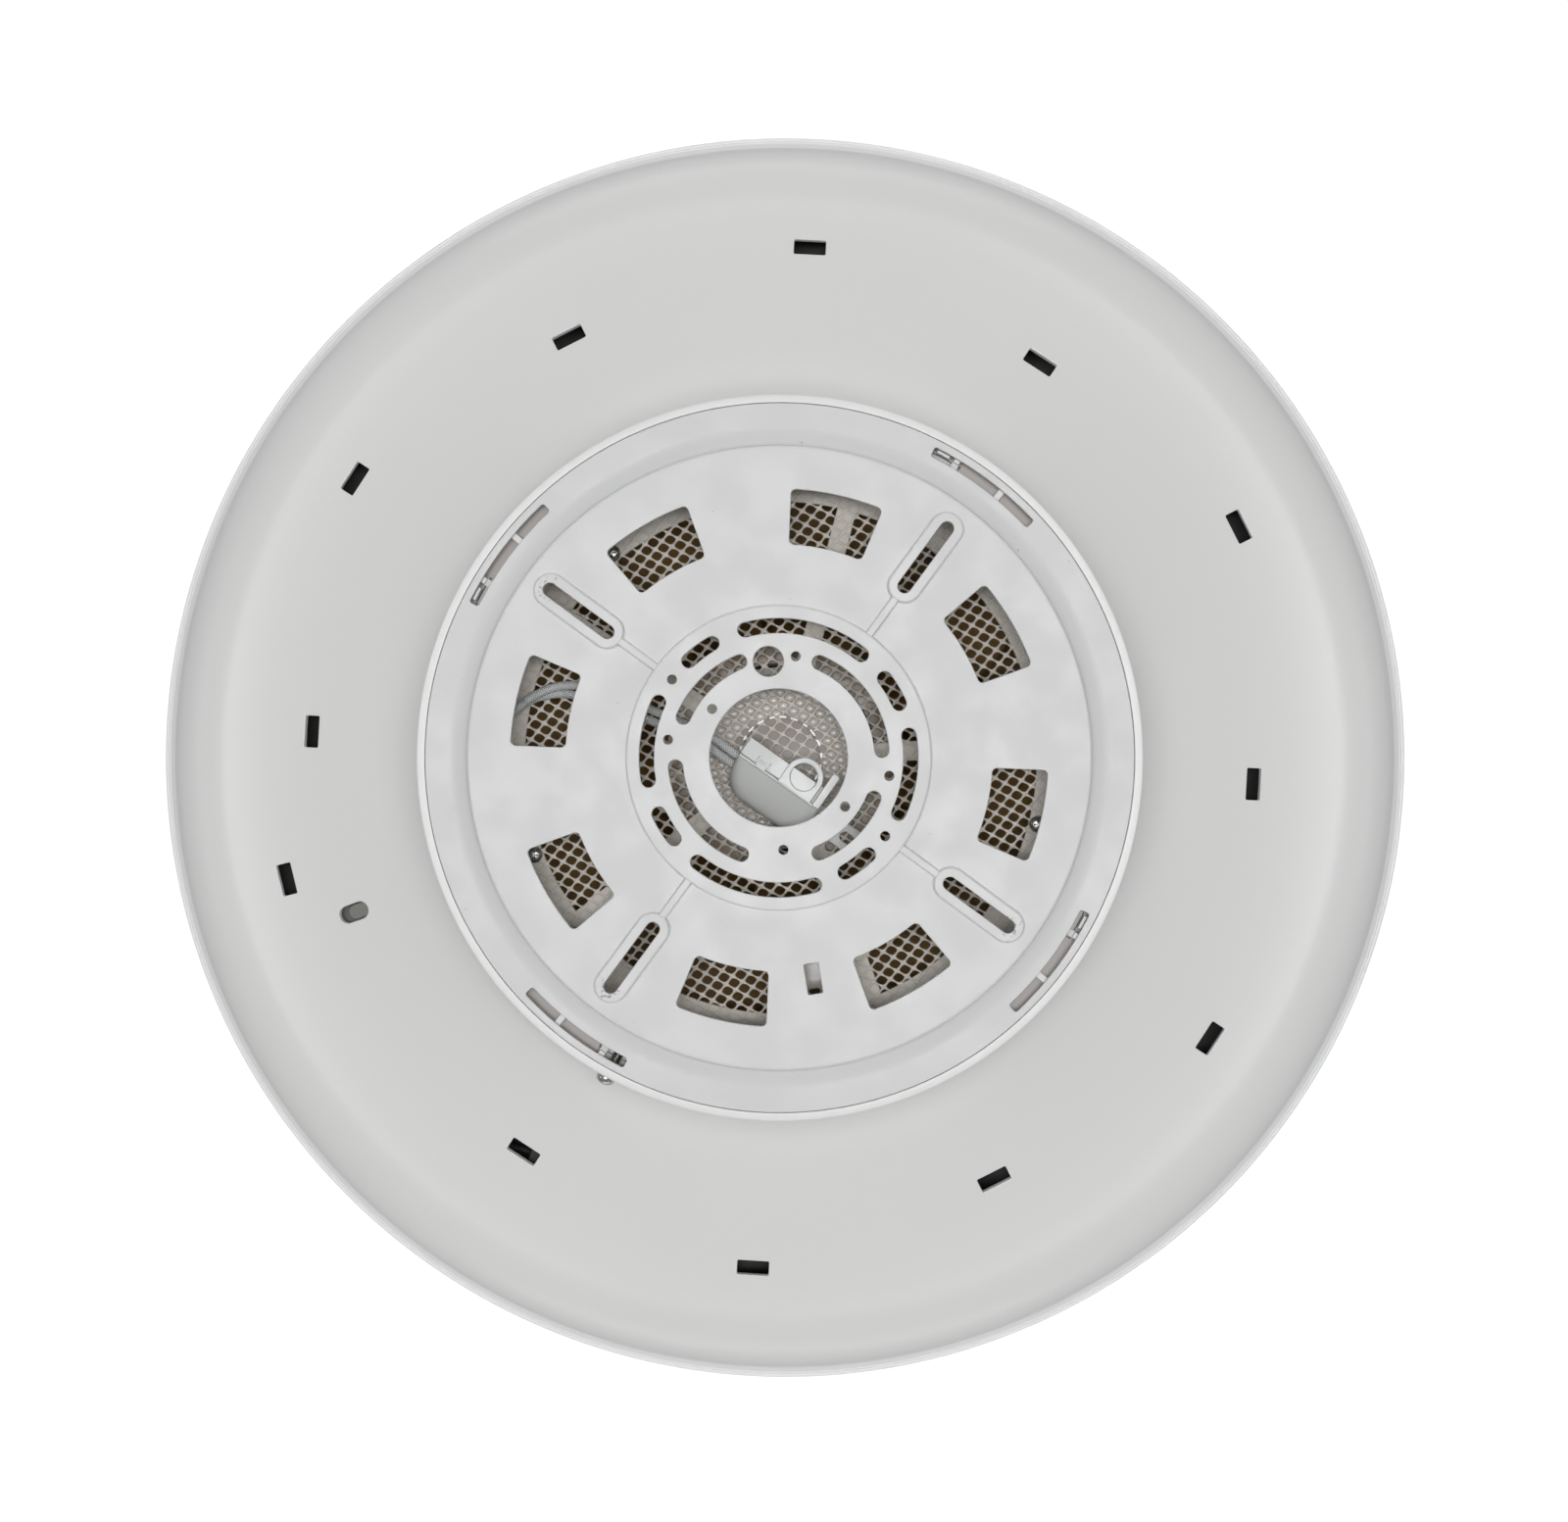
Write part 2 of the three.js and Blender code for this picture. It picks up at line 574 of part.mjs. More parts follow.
const driverBlock = (shrink, z0, z1) => blockAt(
  DRIVER.r, DRIVER.angle, DRIVER.size[0] - shrink, DRIVER.size[1] - shrink, z0, z1,
);

function driverCase() {
  const floor = TRAY_Z[0] + GAP;
  const [depth, half] = [DRIVER.size[0] / 2, DRIVER.size[1] / 2];
  return cut(
    driverBlock(0, floor, floor + 14),
    driverBlock(3.2, floor + 1.6, floor + 20),
    inlet(LEAD_AT.pitch / 2, half, 0), inlet(-LEAD_AT.pitch / 2, half, 0),
    inlet(0, -half, 0), inlet(-depth, 20, 90),
  );
}

function driverCover() {
  const floor = TRAY_Z[0] + GAP;
  return driverBlock(0, floor + 14 + GAP, floor + 16 + GAP);
}

function driverBoard() {
  const deck = TRAY_Z[0] + GAP + 4.6;
  const on = (out, round, length, width, height) =>
    block(...driverPoint(out, round).toArray(), length, width, deck - 0.2, deck + height, DRIVER.angle);
  return join(
    driverBlock(5, deck - 1.6, deck),
    on(4, -10, 14, 12, 7.4),
    on(4, 7, 9, 8, 6),
    rod(...driverPoint(-6, -8).toArray(), 4.5, deck - 0.2, deck + 7.4),
  );
}

// ---------------------------------------------------------------- spoke with the motor's lead
// A point beside the stiffening rib of the spoke that the motor's lead runs under.
const spokePoint = (r) => polar(r, MOTOR_LEAD_SPOKE).add(polar(2.8, MOTOR_LEAD_SPOKE + 90));
const motorLeadDrop = () => spokePoint(22);

// ---------------------------------------------------------------- terminal box
const toBox = (body) => body.rotate([0, 0, BOX_ANGLE]);
const boxPoint = (u, w, z) => {
  const p = new THREE.Vector2(u, -w).rotateAround(new THREE.Vector2(), rad(BOX_ANGLE));
  return new THREE.Vector3(p.x, p.y, z);
};
const boxBlock = (u0, u1, w0, w1, z0, z1) =>
  block((u0 + u1) / 2, -(w0 + w1) / 2, u1 - u0, w1 - w0, z0, z1);

// A prism along u, from its outline in w and z.
function along(outline, u0, u1) {
  const shape = new THREE.Shape(outline.map(([w, z]) => new THREE.Vector2(-w, z)));
  const options = { depth: u1 - u0, bevelEnabled: false };
  return solid(new THREE.ExtrudeGeometry(shape, options)
    .rotateX(Math.PI / 2).rotateZ(Math.PI / 2).translate(u0, 0, 0));
}

// The box's outline seen from above, drawn in by its wall for the room inside.
function boxPlan(wall, z0, z1) {
  const centre = [BOX_U[0] + BOX_CORNER, BOX_CORNER - BOX_FRONT];
  return raised([
    ...arc(...centre, BOX_CORNER - wall, 180, 270, 4),
    new THREE.Vector2(BOX_U[1] - wall, wall - BOX_FRONT),
    new THREE.Vector2(BOX_U[1] - wall, -LID_W[0] - wall),
    new THREE.Vector2(BOX_U[0] + wall, -LID_W[0] - wall),
  ], z0, z1);
}

function terminalBox() {
  const floor = GUARD_Z[0] + GAP;
  const hull = along([
    [LID_W[0], floor], [BOX_FRONT, floor], [BOX_FRONT, -26], [18, -22.5], [13, -19.4],
    [LID_W[1], -17.4], [LID_W[0], -17.4],
  ], ...BOX_U).intersect(boxPlan(0, floor, -15));
  const room = along([
    [0, floor + BOX_WALL], [BOX_FRONT, floor + BOX_WALL], [BOX_FRONT, -29], [16.5, -24], [12, -21.5],
    [5, -19.2], [0, -19.2],
  ], ...BOX_U).intersect(boxPlan(BOX_WALL, floor, -15));
  const mouth = boxBlock(BOX_U[0] + 1.8, 13.4, LID_W[0] + 1.6, LID_W[1] - 1.4, -22, -16);
  const endWall = boxBlock(BOX_U[1] - 2.8, BOX_U[1], -6.4, LID_W[1] + 0.8, -19, -13.8);
  const ear = cut(
    boxBlock(BOX_U[1] - 0.5, 40, 5.2, 14.2, floor, floor + 2),
    raised(stadium(5.6, 3.6, 35, 0), -40, -30).translate([0, -9.7, 0]),
  );
  const leads = [-0.5, 0.5].map((side) => solid(
    new THREE.CylinderGeometry(LEAD_AT.radius + 0.4, LEAD_AT.radius + 0.4, 8, SMALL).rotateZ(Math.PI / 2)
      .translate(BOX_U[0], -LEAD_AT.w - side * LEAD_AT.pitch, LEAD_AT.z)));
  return toBox(cut(join(hull, endWall, ear), room, mouth, ...leads));
}

function terminalLid() {
  const lid = boxBlock(BOX_U[0] + 0.2, 15.4, LID_W[0], LID_W[1], -17, -15);
  const [pullU, pullW] = PULL_AT;
  const pull = cut(
    join(
      rod(pullU, -pullW, PULL_R[1], -15.2, -13.2, FINE),
      boxBlock(pullU - PULL_R[1], pullU + PULL_R[1], pullW, LID_W[1] + 0.4, -15.2, -13.2),
    ),
    rod(pullU, -pullW, PULL_R[0], -16, -12, FINE),
  );
  const latch = boxBlock(-5.4, -1.6, LID_W[1] - 1, LID_W[1] + 0.8, -16.9, -14.6);
  return toBox(join(lid, pull, latch));
}

function terminalBlock() {
  const floor = GUARD_Z[0] + GAP + 2;
  const bar = boxBlock(-9, 19, 1.7, 10.3, floor, floor + 7.6);
  const wells = WIRE_WAYS.map((u) => rod(u, -TERMINAL_W, 2.2, floor + 2.4, floor + 9, SMALL));
  const ways = WIRE_WAYS.map((u) => boxBlock(u - 1.6, u + 1.6, 1, 12, floor + 1, floor + 3.4));
  return toBox(cut(bar, ...wells, ...ways));
}

const terminalScrew = (u) => {
  const floor = GUARD_Z[0] + GAP + 2;
  return toBox(rod(u, -TERMINAL_W, 1.8, floor + 3.8, floor + 7, SMALL));
};

// ---------------------------------------------------------------- leads
const at = (point, z) => new THREE.Vector3(point.x, point.y, z);

// A round lead that follows the points of its run.
function lead(name, radius, run, color) {
  const curve = new THREE.CatmullRomCurve3(run, false, "centripetal");
  const section = new THREE.Shape(arc(0, 0, radius, 0, 315, 7));
  const steps = Math.ceil(curve.getLength() / (5.5 * radius));
  const tube = new THREE.ExtrudeGeometry(section, { steps, extrudePath: curve, bevelEnabled: false });
  add(name, solid(tube), color, 0.7);
}

// One lead of a pair: the pair's run moved to the left of its direction, seen from above, and
// turned under the other lead by each point's roll.
const beside = (run, left) => run.map((p, i) => {
  const next = run[Math.min(i + 1, run.length - 1)];
  const last = run[Math.max(i - 1, 0)];
  const way = new THREE.Vector2(next.x - last.x, next.y - last.y).normalize();
  const [across, under] = [left * Math.cos(rad(p.roll)), left * Math.sin(rad(p.roll))];
  return new THREE.Vector3(p.x - way.y * across, p.y + way.x * across, p.z - under);
});

// From the terminal box, under the plate, over the edge of the guard and down to the driver.
function supplyRun() {
  const { w, z } = LEAD_AT;
  const middle = [ // radius, angle, height and roll
    [39.8, 162.6, -27, 0], [58, 161.3, -28, 0], [75, 161.8, -29.5, 15], [81.7, 163.4, -30.2, 50],
    [88.5, 166.4, -30.6, 80], [92.9, 169.4, -30.8, 90], [98.6, 173.6, -31, 90], [104.6, 178.1, -31, 70],
    [109.7, 183.1, -31.2, 40], [114.4, 188.2, -31.8, 10], [119.5, 194, -33.2, 0], [128, 200.5, -39.5, 0],
    [137, 207, -50, 0], [147, 215, -58.5, 0], [159, 224, -64.5, 0],
  ];
  const run = [
    ...[-2.6, 4, 12].map((out) => boxPoint(BOX_U[0] - out, w, z)),
    ...middle.map(([r, a, h]) => at(polar(r, a), h)),
    ...[46, 38, 31].map((round) => at(driverPoint(0, round), DRIVER.inlet)),
  ];
  return run.map((p, i) => Object.assign(p, { roll: middle[i - 3]?.[3] ?? 0 }));
}

// From the driver, up outside the duct, through its notch and under the spoke to the motor board.
const motorRun = () => [
  at(driverPoint(-12, 20), DRIVER.inlet), at(driverPoint(-20, 20), DRIVER.inlet),
  at(polar(130, 236), -63), at(polar(118, 226), -52), at(spokePoint(113), -44.5),
  at(spokePoint(108.4), -41), at(spokePoint(104), -39.4),
  ...[96, 80, 60, 34, 25.6].map((r) => at(spokePoint(r), -39.1)),
  at(spokePoint(23.4), -39.7), at(motorLeadDrop(), -41.8), at(motorLeadDrop(), -45.8),
];

// From the driver, down through the tray to the board.
const lightRun = () => [
  at(driverPoint(0, -31), DRIVER.inlet), at(driverPoint(0, -42), DRIVER.inlet),
  at(driverPoint(0, -49), -68.4), at(driverPoint(0, -52), -73), at(driverPoint(0, -52), -77.6),
];

// ---------------------------------------------------------------- assembly
add("mounting_plate", mountingPlate(), WHITE, 0.45);
add("top_housing", topHousing(), WHITE, 0.35);
add("rear_guard", rearGuard(), WARM_WHITE, 0.5);
add("fan_duct", fanDuct(), WARM_WHITE, 0.5);
add("lock_screw", lockScrew(), STEEL, 0.3, 1);
add("selector_body", selectorBody(), "#202020", 0.6);
add("selector_knob", selectorKnob(), "#747671", 0.6);
times(5, (i) => {
  const [gx, gy] = polar(GUARD_SCREW_R, GUARD_SCREW_ANGLE + 72 * i).toArray();
  add(`guard_screw_${i + 1}`, placed(screw(1.5, 8, 3, 1.9), gx, gy, GUARD_Z[0] + 0.3 - 8), STEEL, 0.3, 1);
});
times(3, (i) => {
  const [x, y] = polar(MOTOR_SCREW_R, MOTOR_SCREW_ANGLE + 120 * i).toArray();
  add(`motor_screw_${i + 1}`, placed(screw(1.3, 7, 2.6, 1.7), x, y, GUARD_Z[0] + 0.3 - 7), STEEL, 0.3, 1);
});
add("motor_base", motorBase(), "#b9b7b2", 0.5, 1);
add("stator_core", statorCore(), "#6d6f72", 0.45, 1);
add("stator_windings", statorWindings(), COPPER, 0.4, 1);
add("motor_board", motorBoard(), GREEN, 0.6);
add("upper_bearing", bearing(-50), STEEL, 0.25, 1);
add("lower_bearing", bearing(-66), STEEL, 0.25, 1);
add("motor_shaft", motorShaft(), STEEL, 0.25, 1);
add("shaft_clip", shaftClip(), "#55585a", 0.4, 1);
add("rotor_cup", rotorCup(), STEEL, 0.35, 1);
add("magnet_ring", ring(33, 36.2, -74, -52, FINE), "#3c3c3e", 0.6);
add("impeller", impeller(), BROWN, 0.35);
times(3, (i) => {
  const [x, y] = polar(24, 30 + 120 * i).toArray();
  add(`impeller_screw_${i + 1}`, placed(upsideDown(screw(1.3, 5, 2.7, 1.8)), x, y, -79.2), STEEL, 0.3, 1);
});
add("led_tray", ledTray(), "#2b2b2c", 0.5, 1);
times(4, (k) => {
  const [x, y] = polar(193, 41 + 90 * k).toArray();
  add(`tray_screw_${k + 1}`, placed(upsideDown(screw(1.6, 8, 3.4, 2.1)), x, y, TRAY_Z[1] - 0.3 + 8), STEEL, 0.3, 1);
});
add("led_board", ledBoard(), "#f0efe6", 0.5);
add("diffuser", diffuser(), "#f2f1ec", 0.3);
add("trim_ring", trimRing(), WHITE, 0.35);
add("front_guard", frontGuard(), WHITE, 0.4);
add("front_cap", frontCap(), WHITE, 0.35);
add("receiver_window", rod(0, 20, 3, -105.9, -102, SMALL), "#141010", 0.15);
times(3, (i) => {
  const [x, y] = polar(FRONT_SCREW_R, 30 + 120 * i).toArray();
  add(`front_screw_${i + 1}`, placed(upsideDown(screw(1.4, 9, 2.6, 1.7)), x, y, -90.5), STEEL, 0.3, 1);
  const [fx, fy] = polar(FLANGE_SCREW_R, 90 + 120 * i).toArray();
  add(`flange_screw_${i + 1}`, placed(upsideDown(screw(1.4, 6, 2.6, 1.6)), fx, fy, -74.3), STEEL, 0.3, 1);
});
add("driver_case", driverCase(), "#29292a", 0.55);
add("driver_cover", driverCover(), "#29292a", 0.55);
add("driver_board", driverBoard(), GREEN, 0.6);
add("terminal_box", terminalBox(), "#c9ccc6", 0.45);
add("terminal_lid", terminalLid(), "#d9dddb", 0.45);
add("terminal_block", terminalBlock(), "#e6e0d2", 0.6);
WIRE_WAYS.forEach((u, i) => add(`terminal_screw_${i + 1}`, terminalScrew(u), "#b08a3e", 0.3, 1));
lead("supply_lead_1", LEAD_AT.radius, beside(supplyRun(), -LEAD_AT.pitch / 2), "#9a9c9a");
lead("supply_lead_2", LEAD_AT.radius, beside(supplyRun(), LEAD_AT.pitch / 2), "#9a9c9a");
lead("motor_lead", 1, motorRun(), "#d8d8d4");
lead("light_lead", 1.3, lightRun(), "#d8d8d4");

export default part;
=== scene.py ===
"""A flush ceiling fan light, seen from above: the looks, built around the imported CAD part.

Lengths in this file are millimetres in the CAD frame (+Z up into the ceiling, z = 0 at the ceiling) and
are scaled to metres when a mesh is made. Angles are degrees, anticlockwise seen from above.
"""
import math

import bmesh
import bpy
from mathutils import Matrix, Vector


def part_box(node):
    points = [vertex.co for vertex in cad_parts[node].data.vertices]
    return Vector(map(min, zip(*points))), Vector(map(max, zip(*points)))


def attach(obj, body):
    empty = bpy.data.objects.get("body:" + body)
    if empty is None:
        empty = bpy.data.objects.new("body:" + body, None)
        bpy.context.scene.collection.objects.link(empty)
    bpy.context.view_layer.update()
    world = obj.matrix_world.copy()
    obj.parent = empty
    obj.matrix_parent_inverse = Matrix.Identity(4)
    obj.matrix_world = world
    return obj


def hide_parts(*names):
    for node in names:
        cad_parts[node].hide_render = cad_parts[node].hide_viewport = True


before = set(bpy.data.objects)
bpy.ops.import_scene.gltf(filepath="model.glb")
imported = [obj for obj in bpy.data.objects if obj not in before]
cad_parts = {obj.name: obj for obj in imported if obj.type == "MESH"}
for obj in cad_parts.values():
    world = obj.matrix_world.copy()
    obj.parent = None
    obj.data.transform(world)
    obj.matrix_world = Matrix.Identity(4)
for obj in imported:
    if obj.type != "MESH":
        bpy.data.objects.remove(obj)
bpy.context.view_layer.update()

MM = 0.001

# ---------------- sizes shared with the CAD part
PLATE_R, FIELD_R, DISC_R, CABLE_HOLE_R = 120.6, 105.4, 51.4, 23.3
FIELD_Z, RIM_Z, PLATE_T = -3.0, -8.0, 2.4
BOSS_ANGLE, BOSS_R, BOSS_SIZE, BOSS_SLOT = 53.7, 83.8, (35.0, 11.4), (28.9, 4.7)
WINDOW_R, WINDOW_HALF, WINDOW_OFFSET = (72.3, 91.0), 10.0, 23.6
BAYONET_ANGLE, BAYONET_HALF, BAYONET_R = 53.1, 10.2, (114.6, 118.1)
SKIRT_R, SKIRT_Z, LEDGE_R, LEDGE_TOP = (111.4, 113.6), -21.0, 116.8, -19.0
STOP, STOP_FOOT = (5.3, 6.5), -11.2
SMALL_BOX_R, LARGE_BOX_R = 34.9, 44.6
SMALL_BOX_SLOTS = [(0, 71), (108, 161), (181, 253), (289, 341)]
LARGE_BOX_SLOTS = [(48, 108), (117, 136), (152, 193), (202, 221), (229, 289), (297, 316),
                   (332, 373), (21, 40)]
PILOT_HOLES = [(27.8, 143.7), (27.8, 323.7), (31.1, 273), (34.7, 80.4),
               (37.8, 170.7), (37.8, 350.7), (44.6, 143.7), (44.6, 323.7)]
PILOT_R, BOX_SLOT_W, WIRE_HOLE = 1.65, 5, (32.7, 96, 5.15)
COLLAR_IN = 120.74  # inner radius of the collar round the plate
NECK_R, WALL, FLARE_TOP, SHOULDER, ROLL = 123.7, 2.4, -19.0, (198.0, -52.0), (22.0, 20.0)
LIP_R, LIP_Z = 223.2, (-72.2, -75.0)
VENT, VENT_OUTER_R, VENT_INNER_R = (11.3, 5.2), 181.3, 167.0
VENT_OUTER_ANGLES = [26.8, 86.8, 146.8, 193.8, 266.8, 326.8]
VENT_INNER_ANGLES = [56.8, 116.8, 176.8, 236.8, 296.8, 356.8]
SELECTOR_R, SELECTOR_ANGLE, SELECTOR_SLOT, SELECTOR_TRAVEL = 161.2, 199.9, (11.4, 6.2), 2.4
LOCK_ANGLE, LOCK_Z = 241.5, -14.6
GUARD_R, GUARD_Z, GUARD_STEP = 118.0, (-35.6, -37.8), 2.4
SPOKE_ANGLE, SPOKE_W, SPOKE_START, OPEN_R = 3.0, 6.8, 27.0, 89.4
GUARD_SCREW = (92.6, 57.5)  # radius and first angle
STEP_R = 14.2  # inside this radius the mesh is sunk by GUARD_STEP
BLIND_R = 29.5  # inside this radius the cells are closed
DUCT_R = (107.0, 109.4)
FRONT_SCREW = (104.9, 30)  # radius and first angle
WEB_A, WEB_B = Vector((3.55, -1.9)), Vector((-2.3, -2.85))  # one cell of the slanting mesh
CELL_SHIFT = (0.3, 0.4)  # where the first cell lies, in cells along each web
CELL_HOLE = 0.405  # half a hole's width, as a part of its cell
SQUARISH = 3.4  # 2 would make the holes round, and more squarer
MESH_T = 1.1
BLADES, BLADE_R, HUB_R, ROTOR_TOP = 9, (43.5, 100.0), 43.0, -46.6
TRIM_R, FRONT_Z = 225.0, -112.0
BOX_ANGLE, BOX_U, LID_W = -35.0, (-12.2, 21.1), (-0.3, 6.2)
BOX_FRONT, PULL_AT, PULL_R = 20.0, (10.7, 0.6), (4.7, 6.7)
LEAD_R, LEAD_PITCH, LEAD_W, LEAD_Z = 1.5, 3.5, 9.4, -26.5
DRIVER_R, DRIVER_ANGLE, DRIVER_INLET = 163.0, 250.0, -66.6

LATHE = 288  # facets round a large turned piece


# ---------------- geometry helpers
def polar(r, a):
    return Vector((r * math.cos(math.radians(a)), r * math.sin(math.radians(a))))


def arc(x, y, r, a0, a1, steps):
    """Points of an arc about (x, y), both ends included."""
    return [Vector((x, y)) + polar(r, a0 + (a1 - a0) * i / steps) for i in range(steps + 1)]


def circle(x, y, r, points=24):
    return arc(x, y, r, 0, 360 - 360 / points, points - 1)


def spread(count, start):
    """Angles that share out a full turn, from start on."""
    return [start + 360 / count * i for i in range(count)]


def about_z(angle):
    return Matrix.Rotation(math.radians(angle), 4, "Z")


def out_at(r, angle):
    """A frame out at radius r, with x along the radius."""
    return about_z(angle) @ Matrix.Translation((r, 0, 0))


def link(name, bm):
    """A new object from a bmesh in millimetres, with its normals turned outwards."""
    bmesh.ops.remove_doubles(bm, verts=bm.verts, dist=1e-4)
    bmesh.ops.recalc_face_normals(bm, faces=bm.faces)
    mesh = bpy.data.meshes.new(name)
    bm.to_mesh(mesh)
    bm.free()
    mesh.transform(Matrix.Scale(MM, 4))
    obj = bpy.data.objects.new(name, mesh)
    bpy.context.scene.collection.objects.link(obj)
    return obj


def turned(name, profile, facets=LATHE):
    """A closed profile of (radius, z) points turned about Z."""
    bm = bmesh.new()
    rings = [[bm.verts.new((*polar(r, angle), z)) for r, z in profile] for angle in spread(facets, 0)]
    for here, there in zip(rings, rings[1:] + rings[:1]):
        for j in range(len(profile)):
            k = (j + 1) % len(profile)
            bm.faces.new((here[j], there[j], there[k], here[k]))
    bmesh.ops.dissolve_degenerate(bm, dist=1e-5, edges=bm.edges)
    return link(name, bm)


def add_band(bm, low, high):
    """Faces between two rings of points."""
    for j in range(len(low)):
        k = (j + 1) % len(low)
        bm.faces.new((low[j], low[k], high[k], high[j]))


def add_loft(bm, loops):
    """Adds a closed body through loops of 3D points, all of one length, with flat ends."""
    made = [[bm.verts.new(p) for p in loop] for loop in loops]
    for low, high in zip(made, made[1:]):
        add_band(bm, low, high)
    bm.faces.new(reversed(made[0]))
    bm.faces.new(made[-1])


def level(outline, z):
    return [(p[0], p[1], z) for p in outline]


def add_prism(bm, outline, low, high):
    add_loft(bm, [level(outline, low), level(outline, high)])


def add_placed(bm, place, outline, steps):
    """A body in the frame of place, with outline(grow) at the height of each (grow, z) step."""
    add_loft(bm, [[tuple(place @ Vector(p)) for p in level(outline(grow), z)] for grow, z in steps])


def add_rounds(bm, count, start, at, r, low, high, points=24):
    """Round bars along Z, shared out on a circle of radius at."""
    for angle in spread(count, start):
        add_prism(bm, circle(*polar(at, angle), r, points), low, high)


def stadium(length, width, r, angle, grow=0.0, steps=10):
    """Outline of a slot with round ends that runs along the radius at r."""
    radius = width / 2 + grow
    half = (length - width) / 2
    out, back = polar(r + half, angle), polar(r - half, angle)
    return (arc(*out, radius, angle - 90, angle + 90, steps)
            + arc(*back, radius, angle + 90, angle + 270, steps))


def bent_slot(r, width, a0, a1, grow=0.0):
    """Outline of a slot bent round the centre; a0 and a1 are where its round ends reach."""
    h = width / 2
    inset = math.degrees(h / r)
    b0, b1 = a0 + inset, a1 - inset
    steps = max(2, round((b1 - b0) / 4))
    h += grow
    return (arc(0, 0, r + h, b0, b1, steps) + arc(*polar(r, b1), h, b1, b1 + 180, 8)[1:-1]
            + arc(0, 0, r - h, b1, b0, steps) + arc(*polar(r, b0), h, b0 + 180, b0 + 360, 8)[1:-1])


def sector(r0, r1, a0, a1, corner=0.0, grow=0.0, steps=8):
    """Outline of a piece of a flat ring with rounded corners."""
    r0, r1, corner = r0 - grow, r1 + grow, corner + grow
    points = []
    for r, turn, first, last in ((r1, 1, a0, a1), (r0, -1, a1, a0)):
        inset = turn * math.degrees((corner - grow) / r)
        start, end = first + inset, last - inset
        along = arc(0, 0, r, start, end, steps)
        if corner:
            near, far = polar(r - turn * corner, start), polar(r - turn * corner, end)
            b0, b1 = start - 90 * turn, end + 90 - 90 * turn
            points += arc(*near, corner, b0, b0 + 90, 5) + along[1:-1] + arc(*far, corner, b1, b1 + 90, 5)
        else:
            points += along
    return points


def rounded_block(length, width, corner, grow=0.0, steps=4):
    """Outline of a rectangle with round corners about the origin."""
    corner += grow
    x, y = length / 2 + grow - corner, width / 2 + grow - corner
    points = []
    for cx, cy, start in ((x, y, 0), (-x, y, 90), (-x, -y, 180), (x, -y, 270)):
        points += arc(cx, cy, corner, start, start + 90, steps)
    return points


def edge_steps(edge, steps=3):
    """(how far out, how far below the face) along a rounded edge of that radius."""
    return [(edge * (1 - math.cos(math.pi / 2 * i / steps)), edge * (1 - math.sin(math.pi / 2 * i / steps)))
            for i in range(steps + 1)]


def add_cutter(bm, outline, low, top, edge=0.35, place=None):
    """A prism whose upper end widens, so that the hole that it cuts has a rounded edge at z = top.
    outline(grow) gives its points, and place turns them from their own frame into the part's."""
    loops = [level(outline(0.0), low)]
    loops += [level(outline(out), top - down) for out, down in edge_steps(edge)]
    loops.append(level(outline(edge), top + 3))
    if place:
        loops = [[tuple(place @ Vector(p)) for p in loop] for loop in loops]
    add_loft(bm, loops)


def boolean(obj, bm, operation):
    """Joins to obj, or cuts from it, the closed bodies in bm."""
    tool = link("tool", bm)
    modifier = obj.modifiers.new("boolean", "BOOLEAN")
    modifier.operation = operation
    modifier.solver = "MANIFOLD"
    modifier.object = tool
    apply_modifiers(obj)
    bpy.data.objects.remove(tool)


def apply_modifiers(obj):
    graph = bpy.context.evaluated_depsgraph_get()
    mesh = bpy.data.meshes.new_from_object(obj.evaluated_get(graph))
    obj.modifiers.clear()
    old, obj.data = obj.data, mesh
    mesh.name = obj.name
    bpy.data.meshes.remove(old)


def smooth(obj, angle):
    """Smooth shading, with sharp edges kept, and flat faces kept flat next to rounded ones."""
    mesh = obj.data
    mesh.shade_smooth()
    mesh.set_sharp_from_angle(angle=math.radians(angle))
    modifier = obj.modifiers.new("normals", "WEIGHTED_NORMAL")
    modifier.keep_sharp = True
    modifier.weight = 100
    apply_modifiers(obj)


def finish(obj, body, slot, material, *nodes, angle=35):
    """Shades a piece, gives it its material and ties it to the frame."""
    smooth(obj, angle)
    obj.data.materials.clear()
    obj.data.materials.append(material)
    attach(obj, body)
    if nodes:
        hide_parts(*nodes)


